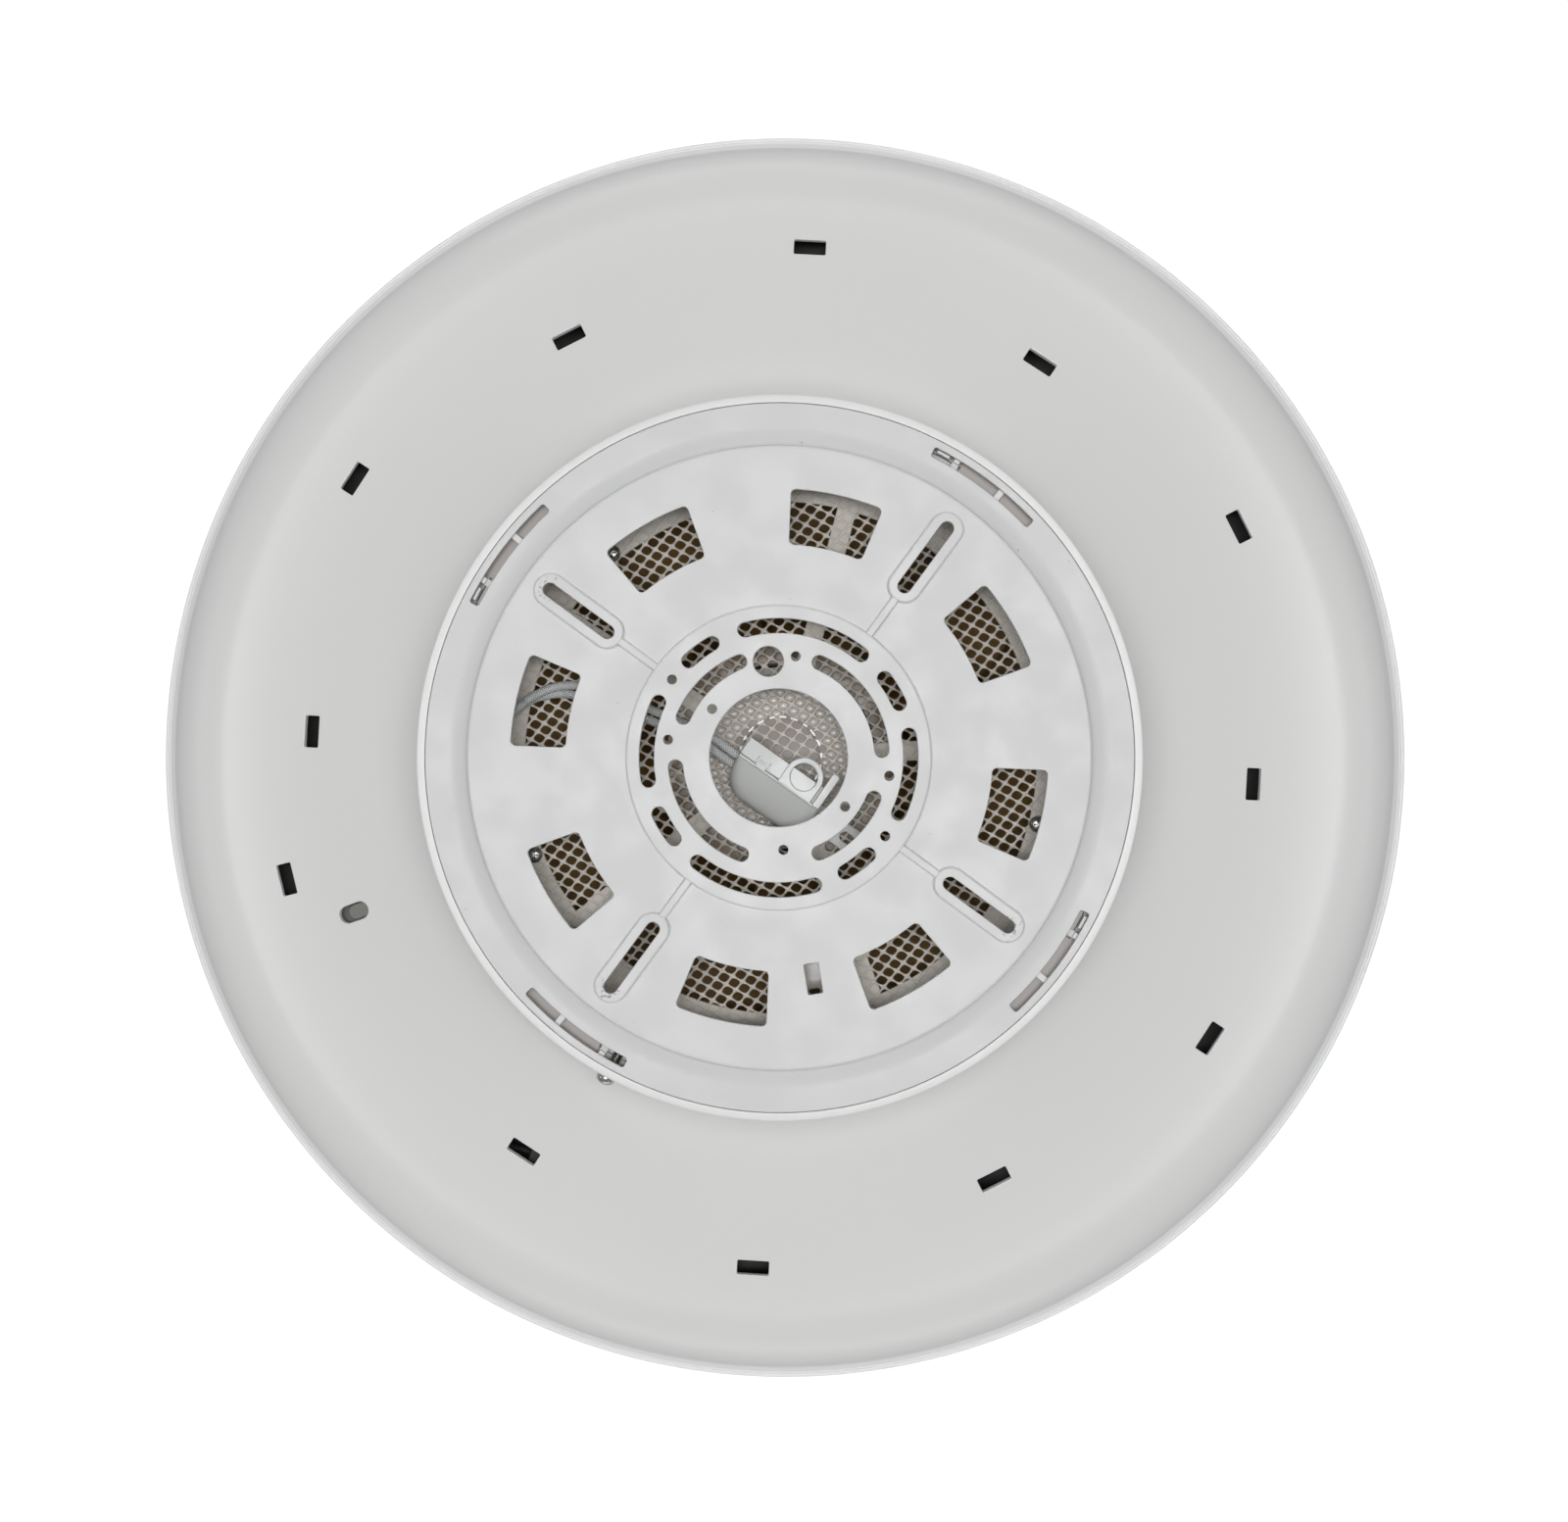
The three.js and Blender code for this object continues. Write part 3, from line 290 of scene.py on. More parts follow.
# ---------------- materials
class Paint:
    """Builds one procedural material on the Principled shader."""

    def __init__(self, name, **sockets):
        self.material = bpy.data.materials.new(name)
        self.material.use_nodes = True
        self.tree = self.material.node_tree
        self.shader = self.tree.nodes["Principled BSDF"]
        self.place = self.node("ShaderNodeTexCoord").outputs["Object"]
        for key, value in sockets.items():
            self.shader.inputs[key.replace("_", " ")].default_value = value

    def node(self, kind, inputs=None, **settings):
        made = self.tree.nodes.new(kind)
        for key, value in settings.items():
            setattr(made, key, value)
        for key, value in (inputs or {}).items():
            self.feed(made.inputs[key], value)
        return made

    def feed(self, socket, value):
        if isinstance(value, bpy.types.NodeSocket):
            self.tree.links.new(value, socket)
        else:
            socket.default_value = value

    def math(self, operation, a, b=0.0):
        return self.node("ShaderNodeMath", {0: a, 1: b}, operation=operation).outputs[0]

    def times(self, a, b):
        return self.math("MULTIPLY", a, b)

    def plus(self, a, b):
        return self.math("ADD", a, b)

    def minus(self, a, b):
        return self.math("SUBTRACT", a, b)

    def noise(self, scale, detail=3.0, roughness=0.5, where=None):
        inputs = {"Vector": where or self.place, "Scale": scale, "Detail": detail, "Roughness": roughness}
        return self.node("ShaderNodeTexNoise", inputs).outputs["Fac"]

    def cells(self, scale, feature="F1"):
        inputs = {"Vector": self.place, "Scale": scale}
        return self.node("ShaderNodeTexVoronoi", inputs, feature=feature).outputs["Distance"]

    def span(self, value, low, high, to_low=0.0, to_high=1.0):
        """value carried from low..high to to_low..to_high, and held at the ends."""
        inputs = {"Value": value, "From Min": low, "From Max": high, "To Min": to_low, "To Max": to_high}
        return self.node("ShaderNodeMapRange", inputs, interpolation_type="SMOOTHSTEP").outputs[0]

    def blend(self, amount, first, second):
        made = self.node("ShaderNodeMix", data_type="RGBA")
        for key, value in (("Factor", amount), ("A", first), ("B", second)):
            socket = next(s for s in made.inputs if s.name == key and s.enabled)
            self.feed(socket, value)
        return next(s for s in made.outputs if s.enabled)

    def colour(self, socket):
        self.feed(self.shader.inputs["Base Color"], socket)

    def rough(self, socket):
        self.feed(self.shader.inputs["Roughness"], socket)

    def bump(self, height, distance):
        before = self.shader.inputs["Normal"].links
        inputs = {"Height": height, "Distance": distance}
        if before:
            inputs["Normal"] = before[0].from_socket
        self.feed(self.shader.inputs["Normal"], self.node("ShaderNodeBump", inputs).outputs[0])

    def tint(self, amount, rgb):
        """Lays rgb over the colour so far, by amount."""
        before = self.shader.inputs["Base Color"].links[0].from_socket
        self.colour(self.blend(amount, before, tone(rgb)))

    def parts(self, where=None):
        """The three parts of a place."""
        return self.node("ShaderNodeSeparateXYZ", {0: where or self.place}).outputs

    def length(self, x, y):
        return self.math("SQRT", self.plus(self.times(x, x), self.times(y, y)))

    def radius(self):
        """Distance from the Z axis, in metres."""
        x, y, _ = self.parts()
        return self.length(x, y)

    def waves(self, scale, distortion):
        """Bands across Z."""
        inputs = {"Vector": self.place, "Scale": scale, "Distortion": distortion}
        return self.node("ShaderNodeTexWave", inputs, bands_direction="Z").outputs["Fac"]


def tone(rgb, k=1.0):
    return (rgb[0] * k, rgb[1] * k, rgb[2] * k, 1.0)


def moulded(name, rgb, roughness, grain=900, depth=0.00002, mottle=0.03, gloss=0.06, **sockets):
    """Injection-moulded plastic: faint colour drift, uneven gloss and a fine spark-eroded grain."""
    paint = Paint(name, **sockets)
    drift = paint.noise(9, 4)
    paint.colour(paint.blend(paint.span(drift, 0.3, 0.7), tone(rgb, 1 - mottle), tone(rgb, 1 + mottle)))
    paint.rough(paint.span(paint.noise(60, 3), 0.3, 0.7, roughness - gloss, roughness + gloss))
    paint.bump(paint.noise(grain, 2), depth)
    return paint


def metal(name, rgb, roughness, grain=(400, 400, 4), streak=0.12):
    """Machined or plated metal: brushed streaks in colour, gloss and relief."""
    paint = Paint(name, Metallic=1.0)
    stretched = paint.node("ShaderNodeMapping", {"Vector": paint.place, "Scale": grain}).outputs[0]
    lines = paint.noise(3.0, 4, 0.6, stretched)
    stain = paint.noise(120, 3)
    paint.colour(paint.blend(paint.span(stain, 0.35, 0.75), tone(rgb), tone(rgb, 1 - 2 * streak)))
    paint.rough(paint.span(lines, 0.3, 0.7, roughness - 0.06, roughness + 0.12))
    paint.bump(lines, 0.00002)
    return paint.material


def band_paint():
    """The mesh's plastic where it is closed, with the lattice on it: raised webs in relief, with a painted
    highlight along them.
    """
    paint = moulded("band_plastic", (0.70, 0.65, 0.58), 0.4, grain=700, mottle=0.06)
    x, y, _ = paint.parts()
    cross = (WEB_A.x * WEB_B.y - WEB_A.y * WEB_B.x) * MM
    webs = []
    for web, sign, shift in ((WEB_B, 1, CELL_SHIFT[0]), (WEB_A, -1, CELL_SHIFT[1])):
        count = paint.minus(paint.times(x, sign * web.y / cross),
                           paint.times(y, sign * web.x / cross))
        fraction = paint.math("FRACT", paint.minus(count, shift))
        webs.append(paint.math("ABSOLUTE", paint.minus(fraction, 0.5)))
    raised = paint.span(paint.math("MINIMUM", *webs), 0.13, 0.05)
    # Painted highlight: the raised webs are lightened to stand for the light they catch; the bump below
    # gives their real relief.
    paint.tint(paint.times(raised, 0.5), (0.82, 0.78, 0.71))
    paint.bump(raised, 0.0002)
    return paint.material


def plate_paint():
    """The plate's plastic, with scuffs where the ceiling screws' heads have rubbed the bosses."""
    paint = moulded("plate_white", (0.75, 0.75, 0.745), 0.42, grain=1400, depth=0.000012, mottle=0.012)
    x, y, _ = paint.parts()
    quarter_turn = math.pi / 2
    start = math.radians(BOSS_ANGLE) - quarter_turn / 2
    turn = paint.minus(paint.math("ARCTAN2", y, x), start)
    folded = paint.minus(paint.math("FLOORED_MODULO", turn, quarter_turn), quarter_turn / 2)
    radius = paint.radius()
    along = paint.times(radius, paint.math("COSINE", folded))
    across = paint.times(radius, paint.math("SINE", folded))
    outwards = paint.minus(along, (BOSS_R + 12.6) * MM)
    near = paint.span(paint.length(outwards, across), 0.0062, 0.0024)
    flecks = paint.plus(paint.noise(900, 3, 0.65), paint.times(near, 0.13))
    uneven = paint.span(paint.noise(22, 2), 0.42, 0.6)
    scuff = paint.times(paint.span(flecks, 0.685, 0.74), uneven)
    scuff = paint.times(scuff, paint.span(near, 0.0, 0.3))
    specks = paint.span(paint.noise(340, 2, 0.5), 0.765, 0.79)
    marks = paint.math("MAXIMUM", scuff, paint.times(specks, 0.5))
    paint.tint(paint.times(marks, 0.75), (0.16, 0.15, 0.14))
    paint.bump(scuff, 0.00012)
    return paint.material


def housing_paint():
    """The housing's smoother plastic, with painted shade inside the neck and a painted highlight along its
    lip.
    """
    paint = moulded("housing_white", (0.83, 0.83, 0.815), 0.33, 1600, 0.000005, mottle=0.006, gloss=0.008)
    radius = paint.radius()
    height = paint.parts()[2]
    # Painted shade: the tabs, posts and wall inside the neck, below the collar, are darkened to stand for
    # the shade there.
    within, under = paint.span(radius, 0.1206, 0.1202), paint.span(height, -0.0142, -0.0148)
    paint.tint(paint.times(within, under), (0.47, 0.43, 0.405))
    # Painted highlight: past the roll, the lip (and the trim ring, which shares this material) is lightened
    # to stand for the light that catches it.
    lip = SHOULDER[0] + ROLL[0]
    paint.tint(paint.span(radius, (lip - 0.3) * MM, (lip + 0.4) * MM), (0.97, 0.97, 0.965))
    return paint.material


def braid_paint(name, light, dark):
    """Crossing strands round a lead, laid out on its UV map: u round it, v along it.
    Under the vents the lead is painted near black, as painted shade."""
    strands_round, pitch, painted_shade_from = 10, 800, 0.144
    paint = Paint(name)
    u, v, _ = paint.parts(paint.node("ShaderNodeTexCoord").outputs["UV"])
    round_it = paint.times(u, strands_round * 2 * math.pi)
    along_it = paint.times(v, pitch)
    crossing = (paint.math("SINE", paint.math(way, round_it, along_it)) for way in ("ADD", "SUBTRACT"))
    height = paint.span(paint.math("MAXIMUM", *crossing), -0.4, 1.0)
    dust = paint.times(paint.noise(500), 0.3)
    shade = paint.plus(paint.times(height, 0.8), dust)
    paint.colour(paint.blend(paint.span(shade, 0.1, 0.95), tone(dark), tone(light)))
    # Painted shade: out from this radius, under the vents, the lead is darkened near black.
    paint.tint(paint.span(paint.radius(), painted_shade_from, painted_shade_from + 0.0005), (0.016, 0.015, 0.014))
    paint.rough(paint.span(height, 0, 1, 0.75, 0.5))
    paint.bump(height, 0.0001)
    return paint.material


def copper_paint():
    """Layers of enamelled wire."""
    paint = Paint("copper_wire", Metallic=0.85)
    wave = paint.waves(900, 1.5)
    paint.colour(paint.blend(wave, tone((0.2, 0.05, 0.015)), tone((0.62, 0.22, 0.07))))
    paint.rough(paint.span(wave, 0, 1, 0.45, 0.28))
    paint.bump(wave, 0.0002)
    return paint.material


def board_paint():
    """Solder mask with copper tracks under it and a sprinkling of pads."""
    paint = Paint("circuit_green")
    tracks = paint.span(paint.cells(260, "DISTANCE_TO_EDGE"), 0.02, 0.05)
    pads = paint.span(paint.cells(420), 0.16, 0.12)
    green = paint.blend(tracks, tone((0.05, 0.24, 0.10)), tone((0.02, 0.12, 0.045)))
    paint.colour(paint.blend(pads, green, tone((0.7, 0.62, 0.42))))
    paint.rough(paint.span(pads, 0, 1, 0.35, 0.25))
    paint.bump(pads, 0.0001)
    return paint.material


def iron_paint():
    """Stacked sheets, seen edge on."""
    paint = Paint("stacked_iron", Metallic=0.9)
    wave = paint.waves(500, 0.3)
    stain = paint.span(paint.noise(200, 3), 0.4, 0.7)
    paint.colour(paint.blend(stain, tone((0.22, 0.22, 0.23)), tone((0.12, 0.10, 0.09))))
    paint.rough(paint.span(wave, 0, 1, 0.55, 0.35))
    paint.bump(wave, 0.00012)
    return paint.material


def milky_paint():
    """Opal plastic that glows a little where light passes through it."""
    paint = moulded("opal_plastic", (0.91, 0.91, 0.895), 0.34, grain=1500, depth=0.000006, mottle=0.008)
    paint.shader.inputs["Subsurface Weight"].default_value = 0.25
    paint.shader.inputs["Subsurface Radius"].default_value = (0.006, 0.005, 0.004)
    return paint.material


PLATE = plate_paint()
HOUSING = housing_paint()
OPAL = milky_paint()
MESH = moulded("mesh_plastic", (0.70, 0.645, 0.575), 0.36, grain=700, mottle=0.05).material
BAND = band_paint()
BASE = moulded("base_plastic", (0.29, 0.255, 0.23), 0.4, grain=700, mottle=0.08).material
BUMP = moulded("bump_plastic", (0.68, 0.645, 0.605), 0.18, grain=500, mottle=0.08).material
DUCT = moulded("duct_plastic", (0.70, 0.65, 0.58), 0.45, grain=700, mottle=0.05).material
WHITE = moulded("fitting_white", (0.70, 0.715, 0.70), 0.34, grain=1200, mottle=0.015).material
CREAM = moulded("terminal_cream", (0.62, 0.56, 0.44), 0.45, grain=900).material
BLADE = moulded("amber_plastic", (0.27, 0.165, 0.06), 0.28, grain=800, mottle=0.12).material
DARK = moulded("dark_plastic", (0.016, 0.015, 0.014), 0.5, grain=900, mottle=0.1).material
KNOB = moulded("knob_grey", (0.25, 0.255, 0.235), 0.5, grain=1500, mottle=0.04).material
STEEL = metal("zinc_steel", (0.55, 0.55, 0.53), 0.24)
# Painted shade: the LED tray is made near black so that the vents above it show dark.
PAINTED_SHADE_BLACK = moulded("painted_shade_black", (0.028, 0.027, 0.025), 0.6, grain=1200, mottle=0.1).material
MAGNET = metal("magnet_black", (0.06, 0.06, 0.065), 0.5)
BRASS = metal("brass", (0.55, 0.38, 0.13), 0.3)
COPPER = copper_paint()
IRON = iron_paint()
BOARD = board_paint()
BRAID = braid_paint("grey_braid", (0.95, 0.97, 0.97), (0.20, 0.215, 0.215))
SLEEVE = moulded("lead_sleeve", (0.6, 0.6, 0.57), 0.5, grain=1500).material


# ---------------- ceiling plate
def quarter(a0, a1, r, z, p, q, steps):
    """Points (radius, z) on an ellipse about (r, z)."""
    angles = (math.radians(a0 + (a1 - a0) * i / steps) for i in range(steps + 1))
    return [(r + p * math.cos(a), z + q * math.sin(a)) for a in angles]


def join_sectors(obj, *rows):
    """For each row, joins a piece of a ring at every bayonet slot: its radii, its angles from the slot's
    middle, and its heights."""
    for r0, r1, a0, a1, low, high in rows:
        bodies = bmesh.new()
        for middle in spread(4, BAYONET_ANGLE):
            add_prism(bodies, sector(r0, r1, middle + a0, middle + a1), low, high)
        boolean(obj, bodies, "UNION")


def mounting_plate():
    under, rim_under = FIELD_Z - PLATE_T, RIM_Z - PLATE_T
    profile = [(CABLE_HOLE_R, -2.6), (DISC_R - 2.8, -2.6), (DISC_R - 2.2, under)]
    profile += [(FIELD_R - 1.6, under), (109, rim_under), (SKIRT_R[0], rim_under)]
    profile += [(SKIRT_R[0], SKIRT_Z), (SKIRT_R[1] - 0.3, SKIRT_Z), (SKIRT_R[1], SKIRT_Z + 0.3)]
    profile += [(SKIRT_R[1], rim_under), (PLATE_R, rim_under)]
    profile += quarter(0, 90, PLATE_R - 0.4, RIM_Z - 0.4, 0.4, 0.4, 3)
    profile += quarter(270, 195, 112.4, RIM_Z + 3.6, 6.6, 3.6, 10)  # concave fillet up from the rim
    profile += quarter(5, 90, FIELD_R - 0.5, FIELD_Z - 0.6, 0.8, 0.6, 4)
    profile += quarter(270, 190, DISC_R + 0.6, FIELD_Z + 0.4, 0.5, 0.4, 3)
    profile += quarter(8, 90, DISC_R - 0.5, -0.6, 0.6, 0.6, 4)
    profile += quarter(90, 180, CABLE_HOLE_R + 0.4, -0.4, 0.4, 0.4, 3)
    plate = turned("mounting_plate_shell", profile)

    raised, ribs = bmesh.new(), bmesh.new()
    boss_steps = [(0.5, FIELD_Z - 0.4), (0.5, FIELD_Z + 0.02), (0.15, FIELD_Z + 0.2), (0.0, FIELD_Z + 0.6),
                  (0.0, -0.8), (-0.1, -0.45), (-0.3, -0.15), (-0.6, 0.0)]
    rib_steps = [(0.4, FIELD_Z - 0.3), (0.4, FIELD_Z + 0.02), (0.1, FIELD_Z + 0.3), (0.0, -1.0),
                 (-0.1, -0.7), (-0.35, -0.5)]
    length = BOSS_R - BOSS_SIZE[0] / 2 - DISC_R + 3
    for angle in spread(4, BOSS_ANGLE):
        add_loft(raised, [level(stadium(*BOSS_SIZE, BOSS_R, angle, grow, 14), z) for grow, z in boss_steps])
        add_placed(ribs, out_at(DISC_R + length / 2 - 1, angle),
                   lambda g: rounded_block(length, 2.5 + 2 * g, 0.3), rib_steps)
    boolean(plate, raised, "UNION")
    boolean(plate, ribs, "UNION")
    inner = SKIRT_R[1] - 0.8
    join_sectors(plate, (inner, LEDGE_R, -9.8, 10.8, SKIRT_Z + 0.01, LEDGE_TOP),
                 (inner, LEDGE_R - 0.05, *STOP, SKIRT_Z + 0.5, STOP_FOOT),
                 (inner, LEDGE_R - 0.1, STOP[1] - 0.2, 10.7, SKIRT_Z + 0.4, -17.2))

    holes, below = bmesh.new(), RIM_Z - 4
    for slots, radius in ((SMALL_BOX_SLOTS, SMALL_BOX_R), (LARGE_BOX_SLOTS, LARGE_BOX_R)):
        for a0, a1 in slots:
            add_cutter(holes, lambda g: bent_slot(radius, BOX_SLOT_W, a0, a1, g), below, 0)
    for r, a in PILOT_HOLES:
        add_cutter(holes, lambda g: circle(*polar(r, a), PILOT_R + g), below, 0, 0.25)
    add_cutter(holes, lambda g: circle(*polar(*WIRE_HOLE[:2]), WIRE_HOLE[2] + g, 36), below, 0)
    for angle in spread(4, BOSS_ANGLE):
        add_cutter(holes, lambda g: stadium(*BOSS_SLOT, BOSS_R, angle, g), below, 0)
    for angle in spread(4, BOSS_ANGLE):
        for a0 in (angle - WINDOW_OFFSET - WINDOW_HALF, angle + WINDOW_OFFSET - WINDOW_HALF):
            add_cutter(holes, lambda g: sector(*WINDOW_R, a0, a0 + 2 * WINDOW_HALF, 1.7, g), below, FIELD_Z)
    add_cutter(holes, lambda g: rounded_block(10.5, 5.1, 0.5, g), below, FIELD_Z, 0.3, out_at(75.6, 278.9))
    boolean(plate, holes, "DIFFERENCE")
    bayonets = bmesh.new()
    for a0 in spread(4, BAYONET_ANGLE - BAYONET_HALF):
        add_cutter(bayonets, lambda g: sector(*BAYONET_R, a0, a0 + 2 * BAYONET_HALF, 0.9, g),
                   rim_under - 1, RIM_Z, 0.3)
    boolean(plate, bayonets, "DIFFERENCE")
    finish(plate, "ceiling_plate", "white_plate", PLATE, "mounting_plate", angle=32)


# ---------------- housing
FLARE = (SHOULDER[0] - NECK_R, FLARE_TOP - SHOULDER[1])


def housing_z(r):
    """Height of the housing's outer surface on the flare."""
    return FLARE_TOP - FLARE[1] * math.sqrt(1 - ((SHOULDER[0] - r) / FLARE[0]) ** 2)


def on_housing(r, angle):
    """Places a frame on the flare: x along the radius, z out of the surface."""
    slope = housing_z(r + 0.5) - housing_z(r - 0.5)
    tilt = Matrix.Rotation(-math.atan(slope), 4, "Y")
    return about_z(angle) @ Matrix.Translation((r, 0, housing_z(r))) @ tilt


def top_housing():
    roll_z = SHOULDER[1] - ROLL[1]
    inner = (FLARE[0] + WALL + 0.2, FLARE[1] + WALL)
    profile = [(COLLAR_IN, RIM_Z - 0.5), (COLLAR_IN, RIM_Z - 2.6)]
    profile += quarter(180, 270, SHOULDER[0], FLARE_TOP, *inner, 40)
    profile += quarter(85, 8, SHOULDER[0], roll_z, ROLL[0] - WALL, ROLL[1] - WALL, 16)
    profile += [(SHOULDER[0] + ROLL[0] - WALL, LIP_Z[1])]
    profile += quarter(270, 360, LIP_R - 0.5, LIP_Z[1] + 0.5, 0.5, 0.5, 3)
    profile += quarter(0, 90, LIP_R - 0.9, LIP_Z[0] - 0.9, 0.9, 0.9, 5)
    profile += quarter(9, 89, SHOULDER[0], roll_z, *ROLL, 22)
    profile += quarter(269, 180, SHOULDER[0], FLARE_TOP, *FLARE, 46)
    profile += quarter(0, 90, NECK_R - 0.6, RIM_Z - 0.8, 0.6, 0.6, 4)
    profile += quarter(90, 180, COLLAR_IN + 0.3, RIM_Z - 0.5, 0.3, 0.3, 2)[:-1]
    shell = turned("housing_shell", profile)

    inside = NECK_R - WALL - 0.2
    join_sectors(shell, (114.1, inside + 0.8, -10.6, 4.9, -18.6, -15.6),
                 (LEDGE_R + 0.15, inside + 0.7, 4.8, 10.6, -18.5, -16.6),
                 (LEDGE_R + 0.15, inside + 0.6, STOP[0] + 0.1, STOP[1] - 0.1, -17, STOP_FOOT),
                 (114.6, inside + 0.5, -3.5, -2.5, -13.4, -11))
    posts = bmesh.new()
    for k in (0, 1, 3):  # the lock screw stands where the fourth post would
        middle = BAYONET_ANGLE + 90 * k
        add_prism(posts, sector(LEDGE_R + 0.2, 117.9, middle + 7.3, middle + 9.5), -17, STOP_FOOT)
    boolean(shell, posts, "UNION")
    pillars = bmesh.new()
    add_rounds(pillars, 4, 41, 193, 4.2, -75.6, -53, 36)
    boolean(shell, pillars, "UNION")

    holes = bmesh.new()
    for angles, radius in ((VENT_OUTER_ANGLES, VENT_OUTER_R), (VENT_INNER_ANGLES, VENT_INNER_R)):
        for a in angles:
            add_cutter(holes, lambda g: rounded_block(VENT[1], VENT[0], 0.5, g), -8, 0, 0.3,
                       on_housing(radius, a))
    add_cutter(holes, lambda g: stadium(*SELECTOR_SLOT, 0, 0, g), -8, 0, 0.35,
               on_housing(SELECTOR_R, SELECTOR_ANGLE))
    lock = Matrix.Translation((0, 0, LOCK_Z)) @ about_z(LOCK_ANGLE) @ Matrix.Rotation(math.pi / 2, 4, "Y")
    add_cutter(holes, lambda g: circle(0, 0, 2.4 + g), 112, NECK_R, 0.2, lock)
    boolean(shell, holes, "DIFFERENCE")
    finish(shell, "fixture", "white_shell", HOUSING, "top_housing", angle=32)


# ---------------- perforated intake mesh
def add_cell(bm, centre, top):
    """One cell of the mesh: four crossing webs round a hole with rounded corners."""
    square = [Matrix.Rotation(math.pi / 2 * k, 2) @ Vector((0.5, -0.5 + i / 3))
              for k in range(4) for i in range(3)]

    def ring(reach, z):
        points = []
        for p in square:
            if reach:
                p = p * (reach / (abs(p.x) ** SQUARISH + abs(p.y) ** SQUARISH) ** (1 / SQUARISH))
            q = centre + WEB_A * p.x + WEB_B * p.y
            points.append(bm.verts.new((q.x, q.y, z)))
        return points

    loops = [ring(None, top), ring(CELL_HOLE + 0.045, top), ring(CELL_HOLE, top - 0.2),
             ring(CELL_HOLE, top - MESH_T), ring(None, top - MESH_T)]
    for high, low in zip(loops, loops[1:]):
        add_band(bm, high, low)


def add_bump(bm, centre, foot):
    """A low dome that fills a cell."""
    loops = []
    for reach, rise in ((0.46, 0), (0.42, 0.5), (0.31, 0.8), (0.14, 0.95)):
        spots = (centre + (WEB_A * math.cos(a) + WEB_B * math.sin(a)) * reach
                 for a in (math.pi / 5 * i for i in range(10)))
        loops.append([(p.x, p.y, foot + rise) for p in spots])
    add_loft(bm, loops)


def intake_middle():
    """The guard's closed middle, under the motor's screws: a floor below the cells, and bumps in them."""
    low = GUARD_Z[0] - MESH_T
    disc = bmesh.new()
    add_prism(disc, circle(0, 0, STEP_R - 0.1, 48), low - GUARD_STEP - 0.5, low - GUARD_STEP + 0.25)
    backing = link("intake_floor", disc)
    rim = turned("intake_floor_rim", [(STEP_R - 0.2, low - 0.6), (BLIND_R, low - 0.6), (BLIND_R, low + 0.15),
                                      (STEP_R - 0.2, low + 0.15)])
    bumps = bmesh.new()
    for centre in lattice(BLIND_R - 2):
        if centre.length > STEP_R + 1.2:
            add_bump(bumps, centre, low + 0.1)
    finish(backing, "fixture", "warm_white_plastic", BASE)
    finish(rim, "fixture", "warm_white_plastic", BASE)
    finish(link("intake_bumps", bumps), "fixture", "warm_white_plastic", BUMP, angle=60)


def lattice(reach):
    """Middles of the mesh's cells within a radius."""
    for i in range(-40, 41):
        for j in range(-40, 41):
            centre = WEB_A * (i + CELL_SHIFT[0]) + WEB_B * (j + CELL_SHIFT[1])
            if centre.length <= reach:
                yield centre


def intake_mesh():
    """The fine mesh, cut off by the spokes, the rim band and the ring round its sunken middle."""
    bm = bmesh.new()
    for centre in lattice(OPEN_R + 1.8):
        distance = centre.length
        angle = math.degrees(math.atan2(centre.y, centre.x)) - SPOKE_ANGLE
        off_spoke = distance * math.sin(math.radians((angle + 36) % 72 - 36))
        if distance > SPOKE_START + 3 and abs(off_spoke) < SPOKE_W / 2 - 2.2:
            continue
        add_cell(bm, centre, GUARD_Z[0] - (GUARD_STEP if distance < STEP_R else 0))
    mesh = link("intake_mesh", bm)
    finish(mesh, "fixture", "warm_white_plastic", MESH, angle=50)

    top, bottom = GUARD_Z[0] + 0.12, GUARD_Z[0] - MESH_T - 0.12
    band = turned("intake_rim", [
        (OPEN_R, bottom), (GUARD_R - 0.3, bottom), (GUARD_R, bottom + 0.3), (GUARD_R, top - 0.3),
        (GUARD_R - 0.3, top), (OPEN_R + 0.3, top), (OPEN_R, top - 0.3)])
    spokes, ribs = bmesh.new(), bmesh.new()
    length = OPEN_R - SPOKE_START + 1
    spoke_steps = [(-0.2, bottom + 0.01), (0, bottom + 0.2), (0, top - 0.25), (-0.2, top - 0.01)]
    for angle in spread(5, SPOKE_ANGLE):
        add_placed(spokes, out_at((OPEN_R + SPOKE_START + 1) / 2, angle),
                   lambda g: rounded_block(length, SPOKE_W, 0.3, g), spoke_steps)
        add_placed(ribs, out_at(60, angle), lambda g: rounded_block(52, 2.6, 0.4),
                   [(0, GUARD_Z[1] - 5), (0, bottom + 0.4)])
    boolean(band, spokes, "UNION")
    boolean(band, ribs, "UNION")
    holes = bmesh.new()
    for angle in spread(5, GUARD_SCREW[1]):
        add_cutter(holes, lambda g: circle(*polar(GUARD_SCREW[0], angle), 1.8 + g), bottom - 2, top, 0.25)
    boolean(band, holes, "DIFFERENCE")
    pad = bmesh.new()
    add_prism(pad, sector(OPEN_R - 19, OPEN_R - 8, 274.5, 283.3, 0.5), bottom - 0.3, top + 0.2)
    finish(link("intake_pad", pad), "fixture", "warm_white_plastic", BUMP)
    dashes = bmesh.new()
    for i, a0 in enumerate(spread(22, 0)):
        outline = sector(STEP_R - 0.25, STEP_R + 0.4, a0, a0 + (10 if i % 3 else 7), steps=3)
        add_prism(dashes, outline, bottom - GUARD_STEP, top + 0.35)
    finish(band, "fixture", "warm_white_plastic", BAND, "rear_guard")
    finish(link("intake_step", dashes), "fixture", "warm_white_plastic", BUMP)


